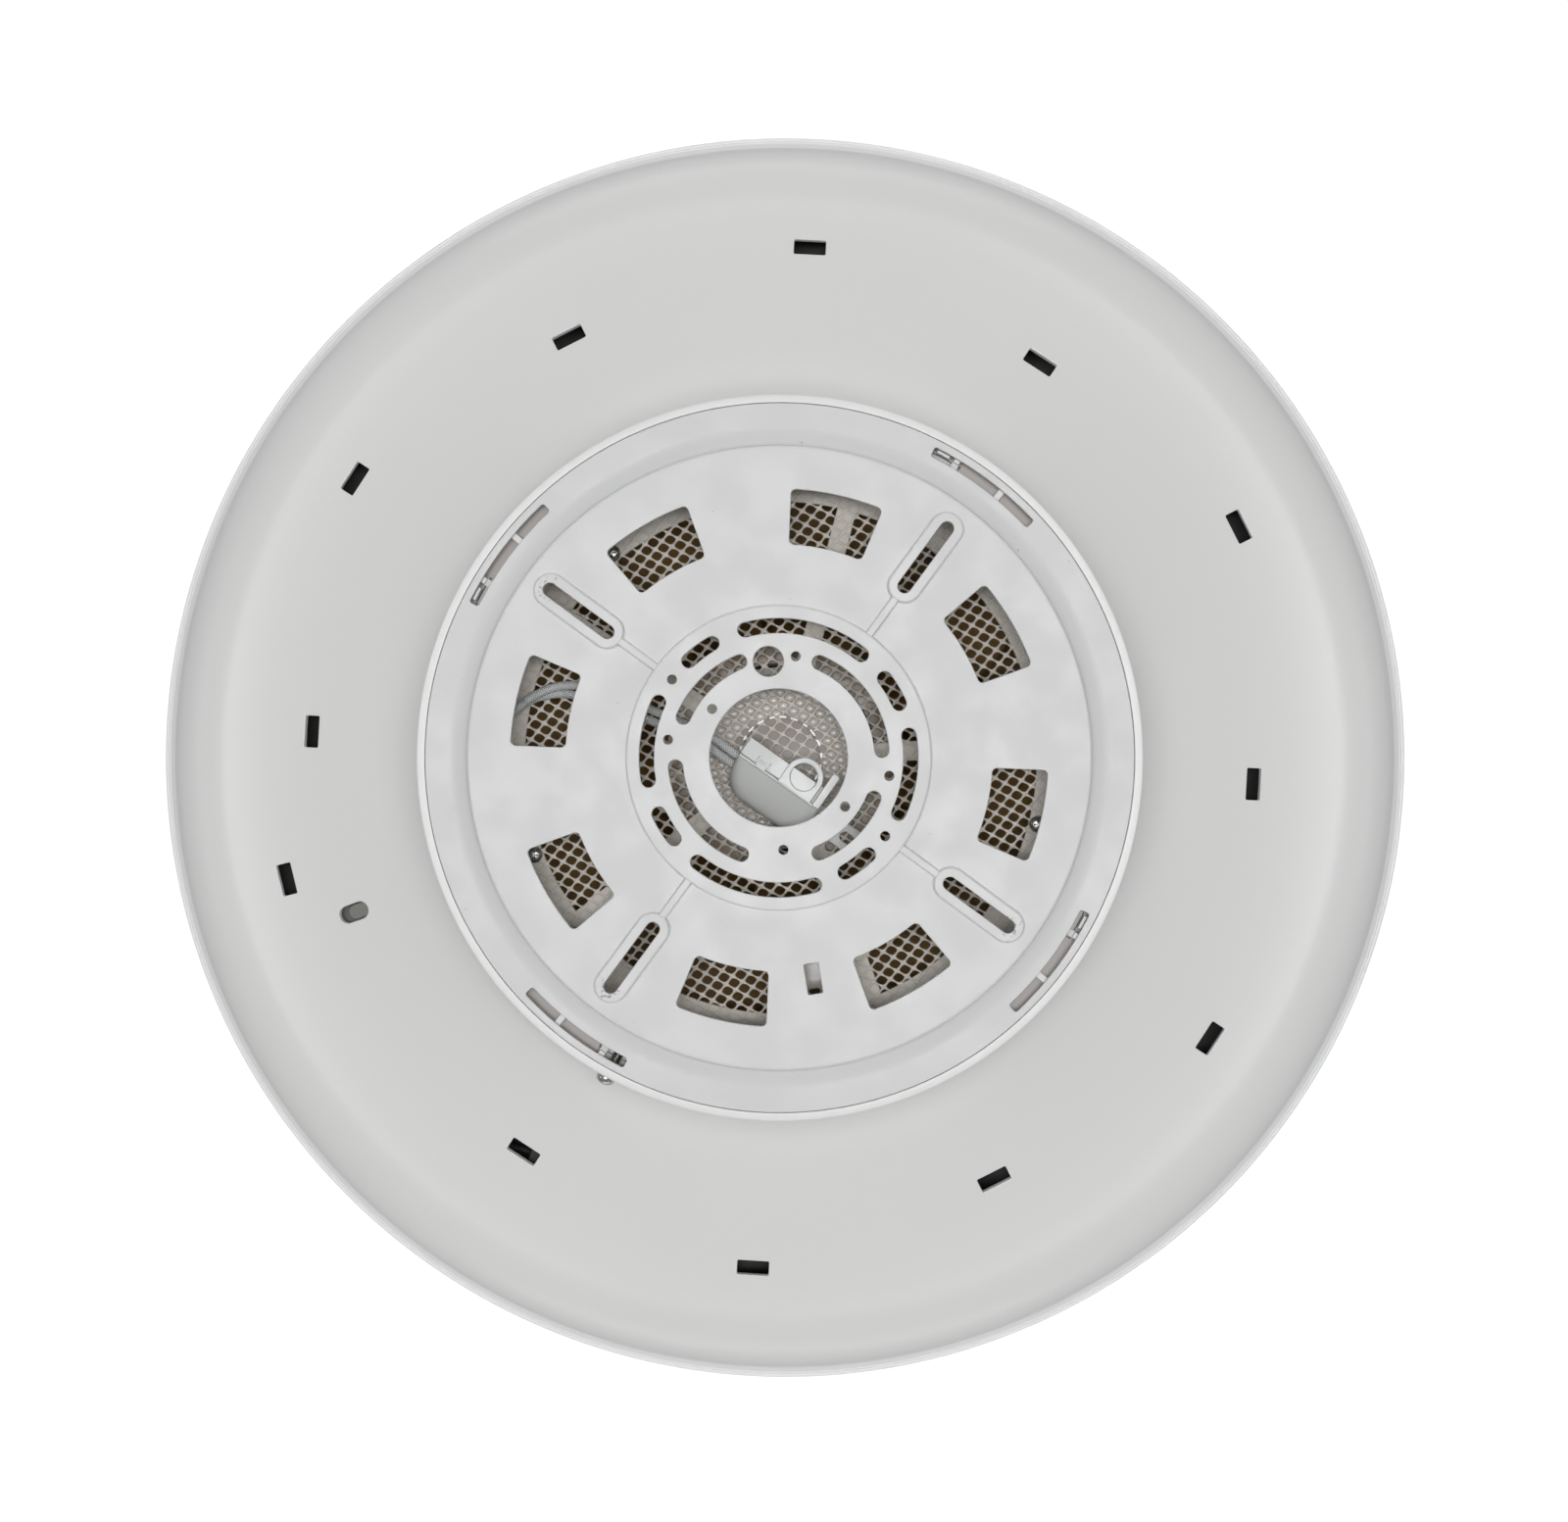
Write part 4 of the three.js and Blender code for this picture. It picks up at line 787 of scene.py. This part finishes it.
# ---------------- screws
def screw_mesh(name, shank, length, head, height, thread=0.5):
    """A cross-recessed pan-head screw along +Z: its tip at z = 0 and its head on top."""
    facets, per_turn = 24, 8
    rows = max(8, int(length / thread * per_turn))

    def shank_point(j, z):
        ridge = math.cos(2 * math.pi * (z / thread - j / facets))
        groove = 0.12 * (1 - ridge) if z < length - 1 else 0
        taper = min(1.0, 0.35 + z / 1.6)
        return (*polar(shank * (1 - groove) * taper, 360 * j / facets), z)

    rings = [[shank_point(j, length * i / rows) for j in range(facets)] for i in range(rows + 1)]
    for out, rise in ((0.97, 0), (1, 0.15), (0.98, 0.4), (0.86, 0.72), (0.6, 0.93), (0.3, 1)):
        rings.append(level(circle(0, 0, head * out, facets), length + height * rise))
    bm = bmesh.new()
    add_loft(bm, rings)
    screw = link(name, bm)
    arm, wide, deep = head * 0.62, head * 0.13, height * 0.75
    for turn in (0, 90):
        cross = bmesh.new()
        place = about_z(turn) @ Matrix.Translation((0, 0, length + height))
        loops = [[tuple(place @ Vector(p)) for p in level(rounded_block(2 * a, 2 * w, 0.02, 0, 1), z)]
                 for a, w, z in ((arm * 0.3, wide * 0.6, -deep), (arm, wide, 0.3))]
        add_loft(cross, loops)
        boolean(screw, cross, "DIFFERENCE")
    return screw


def place_screw(screw, matrix, body, *nodes):
    moved = matrix.copy()
    moved.translation = matrix.translation * MM
    screw.data.transform(moved)
    finish(screw, body, "steel", STEEL, *nodes, angle=40)


def screws():
    """Every screw, as turned and slotted pieces at the CAD screws' places."""
    kinds = [  # node, how many, body, shank, length, head, height, head downwards
        ("guard_screw", 5, "fixture", 1.5, 8, 3.0, 1.9, False),
        ("motor_screw", 3, "fixture", 1.3, 7, 2.6, 1.7, False),
        ("impeller_screw", 3, "rotor", 1.3, 5, 2.7, 1.8, True),
        ("tray_screw", 4, "fixture", 1.6, 8, 3.4, 2.1, True),
        ("front_screw", 3, "fixture", 1.4, 9, 2.6, 1.7, True),
        ("flange_screw", 3, "fixture", 1.4, 6, 2.6, 1.6, True),
    ]
    for kind, count, body, shank, length, head, height, down in kinds:
        for i in range(count):
            node = f"{kind}_{i + 1}"
            low, high = (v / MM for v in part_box(node))
            middle = (low + high) / 2
            screw = screw_mesh(f"{kind}_turned_{i + 1}", shank, length, head, height)
            place = Matrix.Translation((middle.x, middle.y, high.z if down else low.z))
            if down:
                place = place @ Matrix.Rotation(math.pi, 4, "X")
            place_screw(screw, place, body, node)
    screw = screw_mesh("lock_screw_turned", 1.9, 9.8, 3.2, 2.8, 0.7)
    turn = about_z(LOCK_ANGLE) @ Matrix.Translation((114.3, 0, LOCK_Z))
    place_screw(screw, turn @ Matrix.Rotation(math.pi / 2, 4, "Y"), "clamp_screw", "lock_screw")


# ---------------- colour selector
def selector():
    """The knob in its slot, and the shutter under it that closes the slot's other end."""
    length, width = SELECTOR_SLOT[0] - SELECTOR_TRAVEL - 0.5, SELECTOR_SLOT[1] - 0.8
    knob, shutter = bmesh.new(), bmesh.new()
    knob_steps = [(0, -6.5), (0, -2.7), (-0.2, -2.45), (-0.45, -2.35)]
    add_placed(knob, on_housing(SELECTOR_R - SELECTOR_TRAVEL / 2, SELECTOR_ANGLE),
               lambda g: stadium(length, width, 0, 0, g), knob_steps)
    add_placed(shutter, on_housing(SELECTOR_R, SELECTOR_ANGLE), lambda g: rounded_block(17, 9.4, 0.6),
               [(0, -7.6), (0, -6.8)])
    finish(link("selector_slider", knob), "selector", "grey_plastic", KNOB, "selector_knob")
    finish(link("selector_shutter", shutter), "selector", "grey_plastic", KNOB)


# ---------------- terminal box and leads
TO_BOX = about_z(BOX_ANGLE)


def box_loft(bm, outline, steps):
    """A body in the box's frame, x along it and y across it, through (grow, z) steps."""
    add_placed(bm, TO_BOX, outline, steps)


def box_block(bm, u0, u1, w0, w1, z0, z1, corner=0.5):
    shift = Vector(((u0 + u1) / 2, -(w0 + w1) / 2))
    edge = min(0.35, corner)
    outline = lambda g: [p + shift for p in rounded_block(u1 - u0, w1 - w0, corner + 0.01, g)]
    box_loft(bm, outline, [(-edge, z0), (-0.3 * edge, z0 + 0.3 * edge), (0, z0 + edge), (0, z1 - edge),
                           (-0.3 * edge, z1 - 0.3 * edge), (-edge, z1)])


def box_outline(w):
    """The box's outline seen from above, where its front has reached w."""
    r = 2 + 8 * (w - LID_W[1]) / (BOX_FRONT - LID_W[1])
    return (arc(BOX_U[0] + r, r - w, r, 180, 270, 12) + arc(BOX_U[1] - 1, 1 - w, 1, 270, 360, 6)
            + [Vector((BOX_U[1], -LID_W[0])), Vector((BOX_U[0], -LID_W[0]))])


def terminal_box():
    floor = GUARD_Z[0] + 0.4
    shell = bmesh.new()
    box_loft(shell, box_outline, [
        (BOX_FRONT, floor), (BOX_FRONT, -27), (19.6, -25.2), (18.9, -23.9), (17.8, -22.6), (15.9, -21.2),
        (13, -19.7), (9.9, -18.5), (7.8, -17.9), (LID_W[1] + 0.5, -17.5), (LID_W[1], -17.4)])
    hull = link("terminal_box_shell", shell)
    room = bmesh.new()
    inner = [(1.3, floor + 1.6), (17.5, floor + 1.6), (17, -26), (14, -23), (5, -19.5), (1.3, -19.5)]
    add_loft(room, [[tuple(TO_BOX @ Vector((u, -w, z))) for w, z in inner]
                    for u in (BOX_U[0] + 2.4, BOX_U[1] - 1.6)])
    boolean(hull, room, "DIFFERENCE")
    mouth = bmesh.new()
    box_block(mouth, BOX_U[0] + 1.8, 13.4, LID_W[0] + 1.6, LID_W[1] - 1.4, -22, -16)
    for side in (-0.5, 0.5):
        spot = Vector((BOX_U[0], -LEAD_W - side * LEAD_PITCH, LEAD_Z))
        ring = [(0, *p) for p in circle(0, 0, LEAD_R + 0.3)]
        add_loft(mouth, [[tuple(TO_BOX @ (spot + Vector((x, p[1], p[2])))) for p in ring] for x in (-4, 4)])
    boolean(hull, mouth, "DIFFERENCE")
    for block in (
        (BOX_U[1] - 2.8, BOX_U[1], -6.4, LID_W[1] + 0.8, -19, -13.8, 0.8),  # end wall
        (BOX_U[0] + 0.3, BOX_U[1] - 1.6, LID_W[1] + 0.15, LID_W[1] + 1.15, -19.5, -15.6, 0.3),  # rim
        (BOX_U[1] - 0.6, 40, 5.2, 14.2, floor + 0.02, floor + 2),  # ear for a screw
    ):
        body = bmesh.new()
        box_block(body, *block)
        boolean(hull, body, "UNION")
    slot = bmesh.new()
    box_loft(slot, lambda g: [p + Vector((0, -9.7)) for p in stadium(5.6, 3.6, 35, 0, g)],
             [(0, floor - 1), (0, floor + 3)])
    boolean(hull, slot, "DIFFERENCE")
    finish(hull, "fixture", "white_plastic", WHITE, "terminal_box")


def terminal_lid():
    slab, latch, notches = bmesh.new(), bmesh.new(), bmesh.new()
    box_block(slab, BOX_U[0] + 0.2, 15.4, *LID_W, -17, -15, 0.6)
    lid = link("terminal_lid_shell", slab)
    box_block(latch, -5.4, -1.6, LID_W[1] - 1, LID_W[1] + 0.8, -16.9, -14.6, 0.2)
    boolean(lid, latch, "UNION")
    for block in ((-6.1, -5.6, 3.2, 7, -15.8), (-1.4, -0.9, 3.2, 7, -15.8), (-4.9, -2.6, 4.2, 4.7, -15.7)):
        box_block(notches, *block, -14, 0.1)
    boolean(lid, notches, "DIFFERENCE")
    pull, hole = bmesh.new(), bmesh.new()
    u, w = PULL_AT
    outer, foot = PULL_R[1], -LID_W[1] - 0.4
    outline = lambda g: [Vector((u - outer - g, foot)), Vector((u + outer + g, foot)),
                         *arc(u, -w, outer + g, 0, 180, 28)]
    box_loft(pull, outline, [(-0.5, -15.2), (0, -14.7), (0, -13.6), (-0.12, -13.32), (-0.4, -13.2)])
    tab = link("lid_pull_tab", pull)
    box_loft(hole, lambda g: circle(u, -w, PULL_R[0] + g, 36),
             [(0, -16), (0, -13.6), (0.12, -13.32), (0.4, -13.2), (0.4, -12)])
    boolean(tab, hole, "DIFFERENCE")
    finish(tab, "box_lid", "white_plastic", WHITE)
    finish(lid, "box_lid", "white_plastic", WHITE, "terminal_lid")


def driver_point(out, round_it):
    return polar(DRIVER_R + out, DRIVER_ANGLE) + polar(round_it, DRIVER_ANGLE - 90)


def box_point(u, w, z):
    return TO_BOX @ Vector((u, -w, z))


def supply_run():
    """The middle line between the two supply leads, from the terminal box to the driver."""
    middle = [  # radius, angle, height and roll
        (39.8, 162.6, -27, 0), (58, 161.3, -28, 0), (75, 161.8, -29.5, 15), (81.7, 163.4, -30.2, 50),
        (88.5, 166.4, -30.6, 80), (92.9, 169.4, -30.8, 90), (98.6, 173.6, -31, 90), (104.6, 178.1, -31, 70),
        (109.7, 183.1, -31.2, 40), (114.4, 188.2, -31.8, 10), (119.5, 194, -33.2, 0), (128, 200.5, -39.5, 0),
        (137, 207, -50, 0), (147, 215, -58.5, 0), (159, 224, -64.5, 0)]
    run = [(box_point(BOX_U[0] - out, LEAD_W, LEAD_Z), 0) for out in (-2.6, 4, 12)]
    run += [(Vector((*polar(r, a), z)), roll) for r, a, z, roll in middle]
    return run + [(Vector((*driver_point(0, along), DRIVER_INLET)), 0) for along in (46, 38, 31)]


def beside(run, left):
    """One lead of a pair: its run moved to the left, and turned under the other by each point's roll."""
    moved = []
    for i, (p, roll) in enumerate(run):
        way = run[min(i + 1, len(run) - 1)][0] - run[max(i - 1, 0)][0]
        way = Vector((way.x, way.y)).normalized()
        across = left * math.cos(math.radians(roll))
        under = left * math.sin(math.radians(roll))
        moved.append(Vector((p.x - way.y * across, p.y + way.x * across, p.z - under)))
    return moved


def catmull(points, per_span=10):
    """A centripetal Catmull-Rom curve through the points."""
    padded = [2 * points[0] - points[1]] + points + [2 * points[-1] - points[-2]]
    out = []
    for p0, p1, p2, p3 in zip(padded, padded[1:], padded[2:], padded[3:]):
        t = [0.0]
        for a, b in ((p0, p1), (p1, p2), (p2, p3)):
            t.append(t[-1] + math.sqrt((b - a).length))
        for i in range(per_span):
            s = t[1] + (t[2] - t[1]) * i / per_span
            mix = lambda a, b, ta, tb: a * ((tb - s) / (tb - ta)) + b * ((s - ta) / (tb - ta))
            a1, a2, a3 = mix(p0, p1, t[0], t[1]), mix(p1, p2, t[1], t[2]), mix(p2, p3, t[2], t[3])
            b1, b2 = mix(a1, a2, t[0], t[2]), mix(a2, a3, t[1], t[3])
            out.append(mix(b1, b2, t[1], t[2]))
    return out + [points[-1]]


def tube(name, points, radius, facets=20):
    """A closed tube along the points with a UV map: u round it, v metres along it."""
    bm = bmesh.new()
    uv = bm.loops.layers.uv.new("UVMap")
    up = Vector((0, 0, 1))
    rings, runs, total = [], [], 0.0
    for i, p in enumerate(points):
        way = (points[min(i + 1, len(points) - 1)] - points[max(i - 1, 0)]).normalized()
        side = way.cross(up).normalized()
        up = side.cross(way).normalized()
        if i:
            total += (p - points[i - 1]).length
        runs.append(total * MM * 10)
        rings.append([bm.verts.new(p + (side * math.cos(a) + up * math.sin(a)) * radius)
                      for a in (2 * math.pi * j / facets for j in range(facets))])
    for i in range(len(rings) - 1):
        for j in range(facets):
            k = (j + 1) % facets
            face = bm.faces.new((rings[i][j], rings[i][k], rings[i + 1][k], rings[i + 1][j]))
            spots = ((j, i), (j + 1, i), (j + 1, i + 1), (j, i + 1))
            for loop, (u, v) in zip(face.loops, spots):
                loop[uv].uv = (u / facets, runs[v])
    bm.faces.new(rings[0])
    bm.faces.new(rings[-1])
    return link(name, bm)


def leads():
    for i, side in ((1, -0.5), (2, 0.5)):
        points = catmull(beside(supply_run(), side * LEAD_PITCH))
        piece = tube(f"supply_lead_braid_{i}", points, LEAD_R)
        finish(piece, "fixture", "lead_sleeve", BRAID, f"supply_lead_{i}", angle=60)


# ---------------- fan
def fan_duct():
    top = GUARD_Z[1] - 0.4
    duct = turned("fan_duct_shell", [
        (OPEN_R + 0.6, top - 2.4), (DUCT_R[0] - 1.2, top - 2.4), (DUCT_R[0], top - 3.6), (DUCT_R[0], -95.6),
        (DUCT_R[1], -95.6), (DUCT_R[1], -80), (118.1, -80), (118.4, -79.7), (118.4, -78.3), (118.1, -78),
        (DUCT_R[1], -78), (DUCT_R[1], top - 0.4), (DUCT_R[1] - 0.4, top), (OPEN_R + 0.6, top)], 192)
    bosses = bmesh.new()
    add_rounds(bosses, 3, FRONT_SCREW[1], FRONT_SCREW[0], 3.2, -95.6, -84, 36)
    boolean(duct, bosses, "UNION")
    holes = bmesh.new()
    add_rounds(holes, 5, GUARD_SCREW[1], GUARD_SCREW[0], 1.9, -60, -30)
    add_rounds(holes, 3, FRONT_SCREW[1], FRONT_SCREW[0], 1.8, -100, -87)
    add_rounds(holes, 3, 90, 114.8, 1.8, -90, -70)
    spoke = SPOKE_ANGLE + 216  # the spoke that the motor's lead runs along
    place = Matrix.Translation((*(polar(99, spoke) + polar(2.8, spoke + 90)), 0)) @ about_z(spoke)
    add_placed(holes, place, lambda g: rounded_block(26, 3, 0.3), [(0, -44), (0, -30)])
    boolean(duct, holes, "DIFFERENCE")
    finish(duct, "fixture", "warm_white_plastic", DUCT, "fan_duct")


def blade_point(start, along, across, side):
    r = BLADE_R[0] - 1.2 + (BLADE_R[1] - BLADE_R[0] + 1.2) * along
    swing = start + 14 * along * along + across * (43 + 3 * along)
    rise = across * (29 - 9 * along)
    p = polar(r, swing)
    return (p.x, p.y, -66 - rise - 3 * math.cos(math.pi * across) + side)


def impeller():
    wall, corner = 2.2, 2.4
    profile = [(10, -83.8)] + quarter(270, 360, HUB_R - 3.2, -80.6, 3.2, 3.2, 6)
    profile += quarter(0, 90, HUB_R - corner, ROTOR_TOP - corner, corner, corner, 6)
    profile += [(33.5, ROTOR_TOP), (33.5, ROTOR_TOP - wall), (HUB_R - wall - 0.6, ROTOR_TOP - wall),
                (HUB_R - wall, ROTOR_TOP - wall - 0.6), (HUB_R - wall, -80.6), (HUB_R - wall - 0.8, -81.4),
                (10, -81.4)]
    hub = turned("impeller_hub", profile, 144)
    blades = bmesh.new()
    long_way, short_way = 18, 12
    for b in range(BLADES):
        start = 360 / BLADES * b
        loops = []
        for i in range(long_way + 1):
            along = i / long_way
            tip = math.sqrt(max(0.0, 1 - max(0.0, (along - 0.9) / 0.1) ** 2)) * 0.06 + 0.94
            loop = []
            for j in range(2 * short_way):
                t = j / short_way
                across = (0.5 - t if t <= 1 else t - 1.5) * tip
                bulge = math.sqrt(max(0.0, 1 - (2 * across / tip) ** 2))
                side = (1 if t < 1 else -1) * (0.25 + 0.75 * bulge) * (1 if 0 < t % 1 else 0)
                loop.append(blade_point(start, along, across, side))
            loops.append(loop)
        add_loft(blades, loops)
    boolean(hub, blades, "UNION")
    holes = bmesh.new()
    add_rounds(holes, 3, 30, 24, 1.8, -90, -80)
    boolean(hub, holes, "DIFFERENCE")
    finish(hub, "rotor", "brown_plastic", BLADE, "impeller", angle=40)


# ---------------- front
def front_guard():
    """Rings and swept ribs that cover the fan's outlet."""
    z0, z1 = -99.2, -96.0
    soft = 0.6

    def hoop(name, r0, r1, low, high):
        return turned(name, [(r0 + soft, low), (r1 - soft, low), (r1, low + soft), (r1, high - soft),
                             (r1 - soft, high), (r0 + soft, high), (r0, high - soft), (r0, low + soft)], 192)

    guard = hoop("front_guard_shell", 102, DUCT_R[1], z0, z1)
    middle = hoop("front_guard_middle", 7, 33, z0, z1)
    hoops = [hoop(f"front_guard_hoop_{i + 1}", r - 0.8, r + 0.8, z0 + 0.4, z1 - 0.9)
             for i, r in enumerate((44.5, 55.6, 66.8, 78.6, 90.4))]
    ribs = bmesh.new()
    count, steps = 40, 14
    for i in range(count):
        loops = []
        for j in range(steps + 1):
            t = j / steps
            r = 32 + 71 * t
            a = 360 * i / count + 26 * t * t
            across = polar(1, a + 90 - 24 * t)
            p = polar(r, a)
            loop = []
            for s, z in ((-0.45, z0 + 0.2), (0.45, z0 + 0.2), (0.8, z0 + 0.9), (0.7, z1 - 0.5),
                         (0.35, z1 - 0.15), (-0.35, z1 - 0.15), (-0.7, z1 - 0.5), (-0.8, z0 + 0.9)):
                q = p + across * s
                loop.append((q.x, q.y, z))
            loops.append(loop)
        add_loft(ribs, loops)
    blades = link("front_guard_ribs", ribs)
    holes = bmesh.new()
    add_rounds(holes, 3, FRONT_SCREW[1], FRONT_SCREW[0], 1.8, -110, -90)
    boolean(guard, holes, "DIFFERENCE")
    finish(guard, "fixture", "white_plastic", WHITE, "front_guard")
    for piece in (middle, blades, *hoops):
        finish(piece, "fixture", "white_plastic", WHITE)


def front_cap():
    profile = [(0.01, -106.6)] + [(r, -106.6 + 7.0 * (r / 31) ** 3.2) for r in range(3, 31, 2)]
    profile += [(30.6, -100.4), (31, -100.0), (31, -99.7), (30.8, -99.6), (0.01, -99.6)]
    cap = turned("front_cap_shell", profile, 128)
    hole = bmesh.new()
    add_prism(hole, circle(0, 20, 3.5), -120, -101.6)
    boolean(cap, hole, "DIFFERENCE")
    finish(cap, "fixture", "white_plastic", WHITE, "front_cap")
    window = turned("receiver_lens", [(0.01, -105.9), (1.6, -105.85), (2.6, -105.6), (3.0, -105.1),
                                      (3.0, -102), (0.01, -102)], 48)
    window.data.transform(Matrix.Translation((0, 20 * MM, 0)))
    finish(window, "fixture", "dark_plastic", DARK, "receiver_window")


def diffuser():
    outer, inner, t, rounding = 221.3, 111.2, 2.0, 15.0
    profile = [(outer - t, -79.6)]
    profile += quarter(0, -90, outer - rounding, FRONT_Z + rounding, rounding - t, rounding - t, 16)
    profile += quarter(270, 180, inner + rounding, FRONT_Z + rounding, rounding - t, rounding - t, 16)
    profile += [(inner + t, -84.4), (inner + t - 0.4, -84), (inner + 0.4, -84), (inner, -84.4)]
    profile += quarter(180, 270, inner + rounding, FRONT_Z + rounding, rounding, rounding, 20)
    profile += quarter(-90, 0, outer - rounding, FRONT_Z + rounding, rounding, rounding, 20)
    profile += [(outer, -79.9), (outer - 0.3, -79.6)]
    finish(turned("diffuser_shell", profile), "fixture", "diffuser_plastic", OPAL, "diffuser")


def trim_ring():
    profile = [(217.2, -79.2), (221.8, -79.2), (221.8, -86.8), (222.1, -87)]
    profile += quarter(270, 360, TRIM_R - 0.8, -86.2, 0.8, 0.8, 4)
    profile += quarter(0, 90, TRIM_R - 0.8, -76.2, 0.8, 0.8, 4)
    profile += [(217.4, -75.4), (217.2, -75.6)]
    finish(turned("trim_ring_shell", profile), "fixture", "white_shell", HOUSING, "trim_ring")


# ---------------- carried-over CAD pieces
def cad_materials():
    """Materials for the CAD nodes that keep their own shape."""
    for material, nodes in (
        (STEEL, "upper_bearing lower_bearing motor_shaft shaft_clip rotor_cup"),
        (BOARD, "motor_board led_board driver_board"), (DARK, "driver_case driver_cover light_lead"),
        (BRASS, "terminal_screw_1 terminal_screw_2 terminal_screw_3"), (CREAM, "terminal_block"),
        (KNOB, "selector_body"), (DUCT, "motor_base"), (IRON, "stator_core"), (COPPER, "stator_windings"),
        # the LED tray's near black is painted shade behind the vents
        (MAGNET, "magnet_ring"), (PAINTED_SHADE_BLACK, "led_tray"), (SLEEVE, "motor_lead"),
    ):
        for node in nodes.split():
            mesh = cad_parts[node].data
            mesh.materials.clear()
            mesh.materials.append(material)


# ---------------- studio
def floor():
    half, z, steps = 12000, FRONT_Z - 1.5, 4
    bm = bmesh.new()
    for i in range(steps):
        for j in range(steps):
            d = 2 * half / steps
            x, y = -half + d * i, -half + d * j
            corners = ((x, y, z), (x + d, y, z), (x + d, y + d, z), (x, y + d, z))
            bm.faces.new([bm.verts.new(p) for p in corners])
    obj = link("floor", bm)
    paint = Paint("floor_white", Roughness=0.9)
    paint.colour(paint.blend(paint.span(paint.noise(2), 0.3, 0.7), tone((0.60,) * 3), tone((0.63,) * 3)))
    seen = paint.node("ShaderNodeLightPath").outputs["Is Camera Ray"]
    paint.shader.inputs["Emission Color"].default_value = (1, 1, 1, 1)
    paint.feed(paint.shader.inputs["Emission Strength"], paint.times(seen, 0.62))
    obj.data.materials.append(paint.material)


def area(name, at, size, power):
    """A soft box of the given length and width, aimed at the object."""
    light = bpy.data.lights.new(name, "AREA")
    light.shape, light.size, light.size_y, light.energy = "RECTANGLE", *size, power
    obj = bpy.data.objects.new(name, light)
    obj.location = at
    obj.rotation_euler = (Vector((0, 0, -0.05)) - Vector(at)).to_track_quat("-Z", "Y").to_euler()
    bpy.context.scene.collection.objects.link(obj)


def studio():
    scene = bpy.context.scene
    scene.view_settings.view_transform = "Standard"
    world = bpy.data.worlds.new("studio")
    scene.world = world
    world.use_nodes = True
    sky = world.node_tree.nodes["Background"].inputs
    sky["Color"].default_value = (0.97, 0.98, 1.0, 1)
    seen = world.node_tree.nodes.new("ShaderNodeLightPath").outputs["Is Camera Ray"]
    level = world.node_tree.nodes.new("ShaderNodeMapRange")  # pale to look at, dimmer as a light
    level.inputs["To Min"].default_value, level.inputs["To Max"].default_value = 0.26, 0.9
    world.node_tree.links.new(seen, level.inputs["Value"])
    world.node_tree.links.new(level.outputs[0], sky["Strength"])
    area("overhead", (0.02, 0, 2.3), (0.5, 0.5), 10)
    for name, side in (("left", -1), ("right", 1)):
        area(f"top_{name}", (0.42 * side, 0, 2.15), (0.18, 0.7), 6.2)
        area(f"side_{name}", (1.9 * side, 0, 0.9), (1.0, 0.8), 2)
    for name, side in (("back", 1), ("front", -1)):
        area(f"low_{name}", (0, 2 * side, 0.35), (2.4, 0.8), 7)
    camera = bpy.data.cameras.new("camera")
    camera.lens, camera.sensor_width = 66.5, 36
    camera.clip_start = 0.05
    obj = bpy.data.objects.new("camera", camera)
    obj.location = (0.0196, 0, 0.976)
    back = (obj.location - Vector((0.00185, -0.00109, 0))).normalized()
    right = Vector((0, 1, 0)).cross(back).normalized()
    obj.rotation_euler = Matrix((right, back.cross(right), back)).transposed().to_euler()
    scene.collection.objects.link(obj)
    scene.camera = obj


# ---------------- the whole object
studio()
floor()
mounting_plate()
top_housing()
intake_mesh()
intake_middle()
screws()
selector()
terminal_box()
terminal_lid()
leads()
fan_duct()
impeller()
front_guard()
front_cap()
diffuser()
trim_ring()
cad_materials()
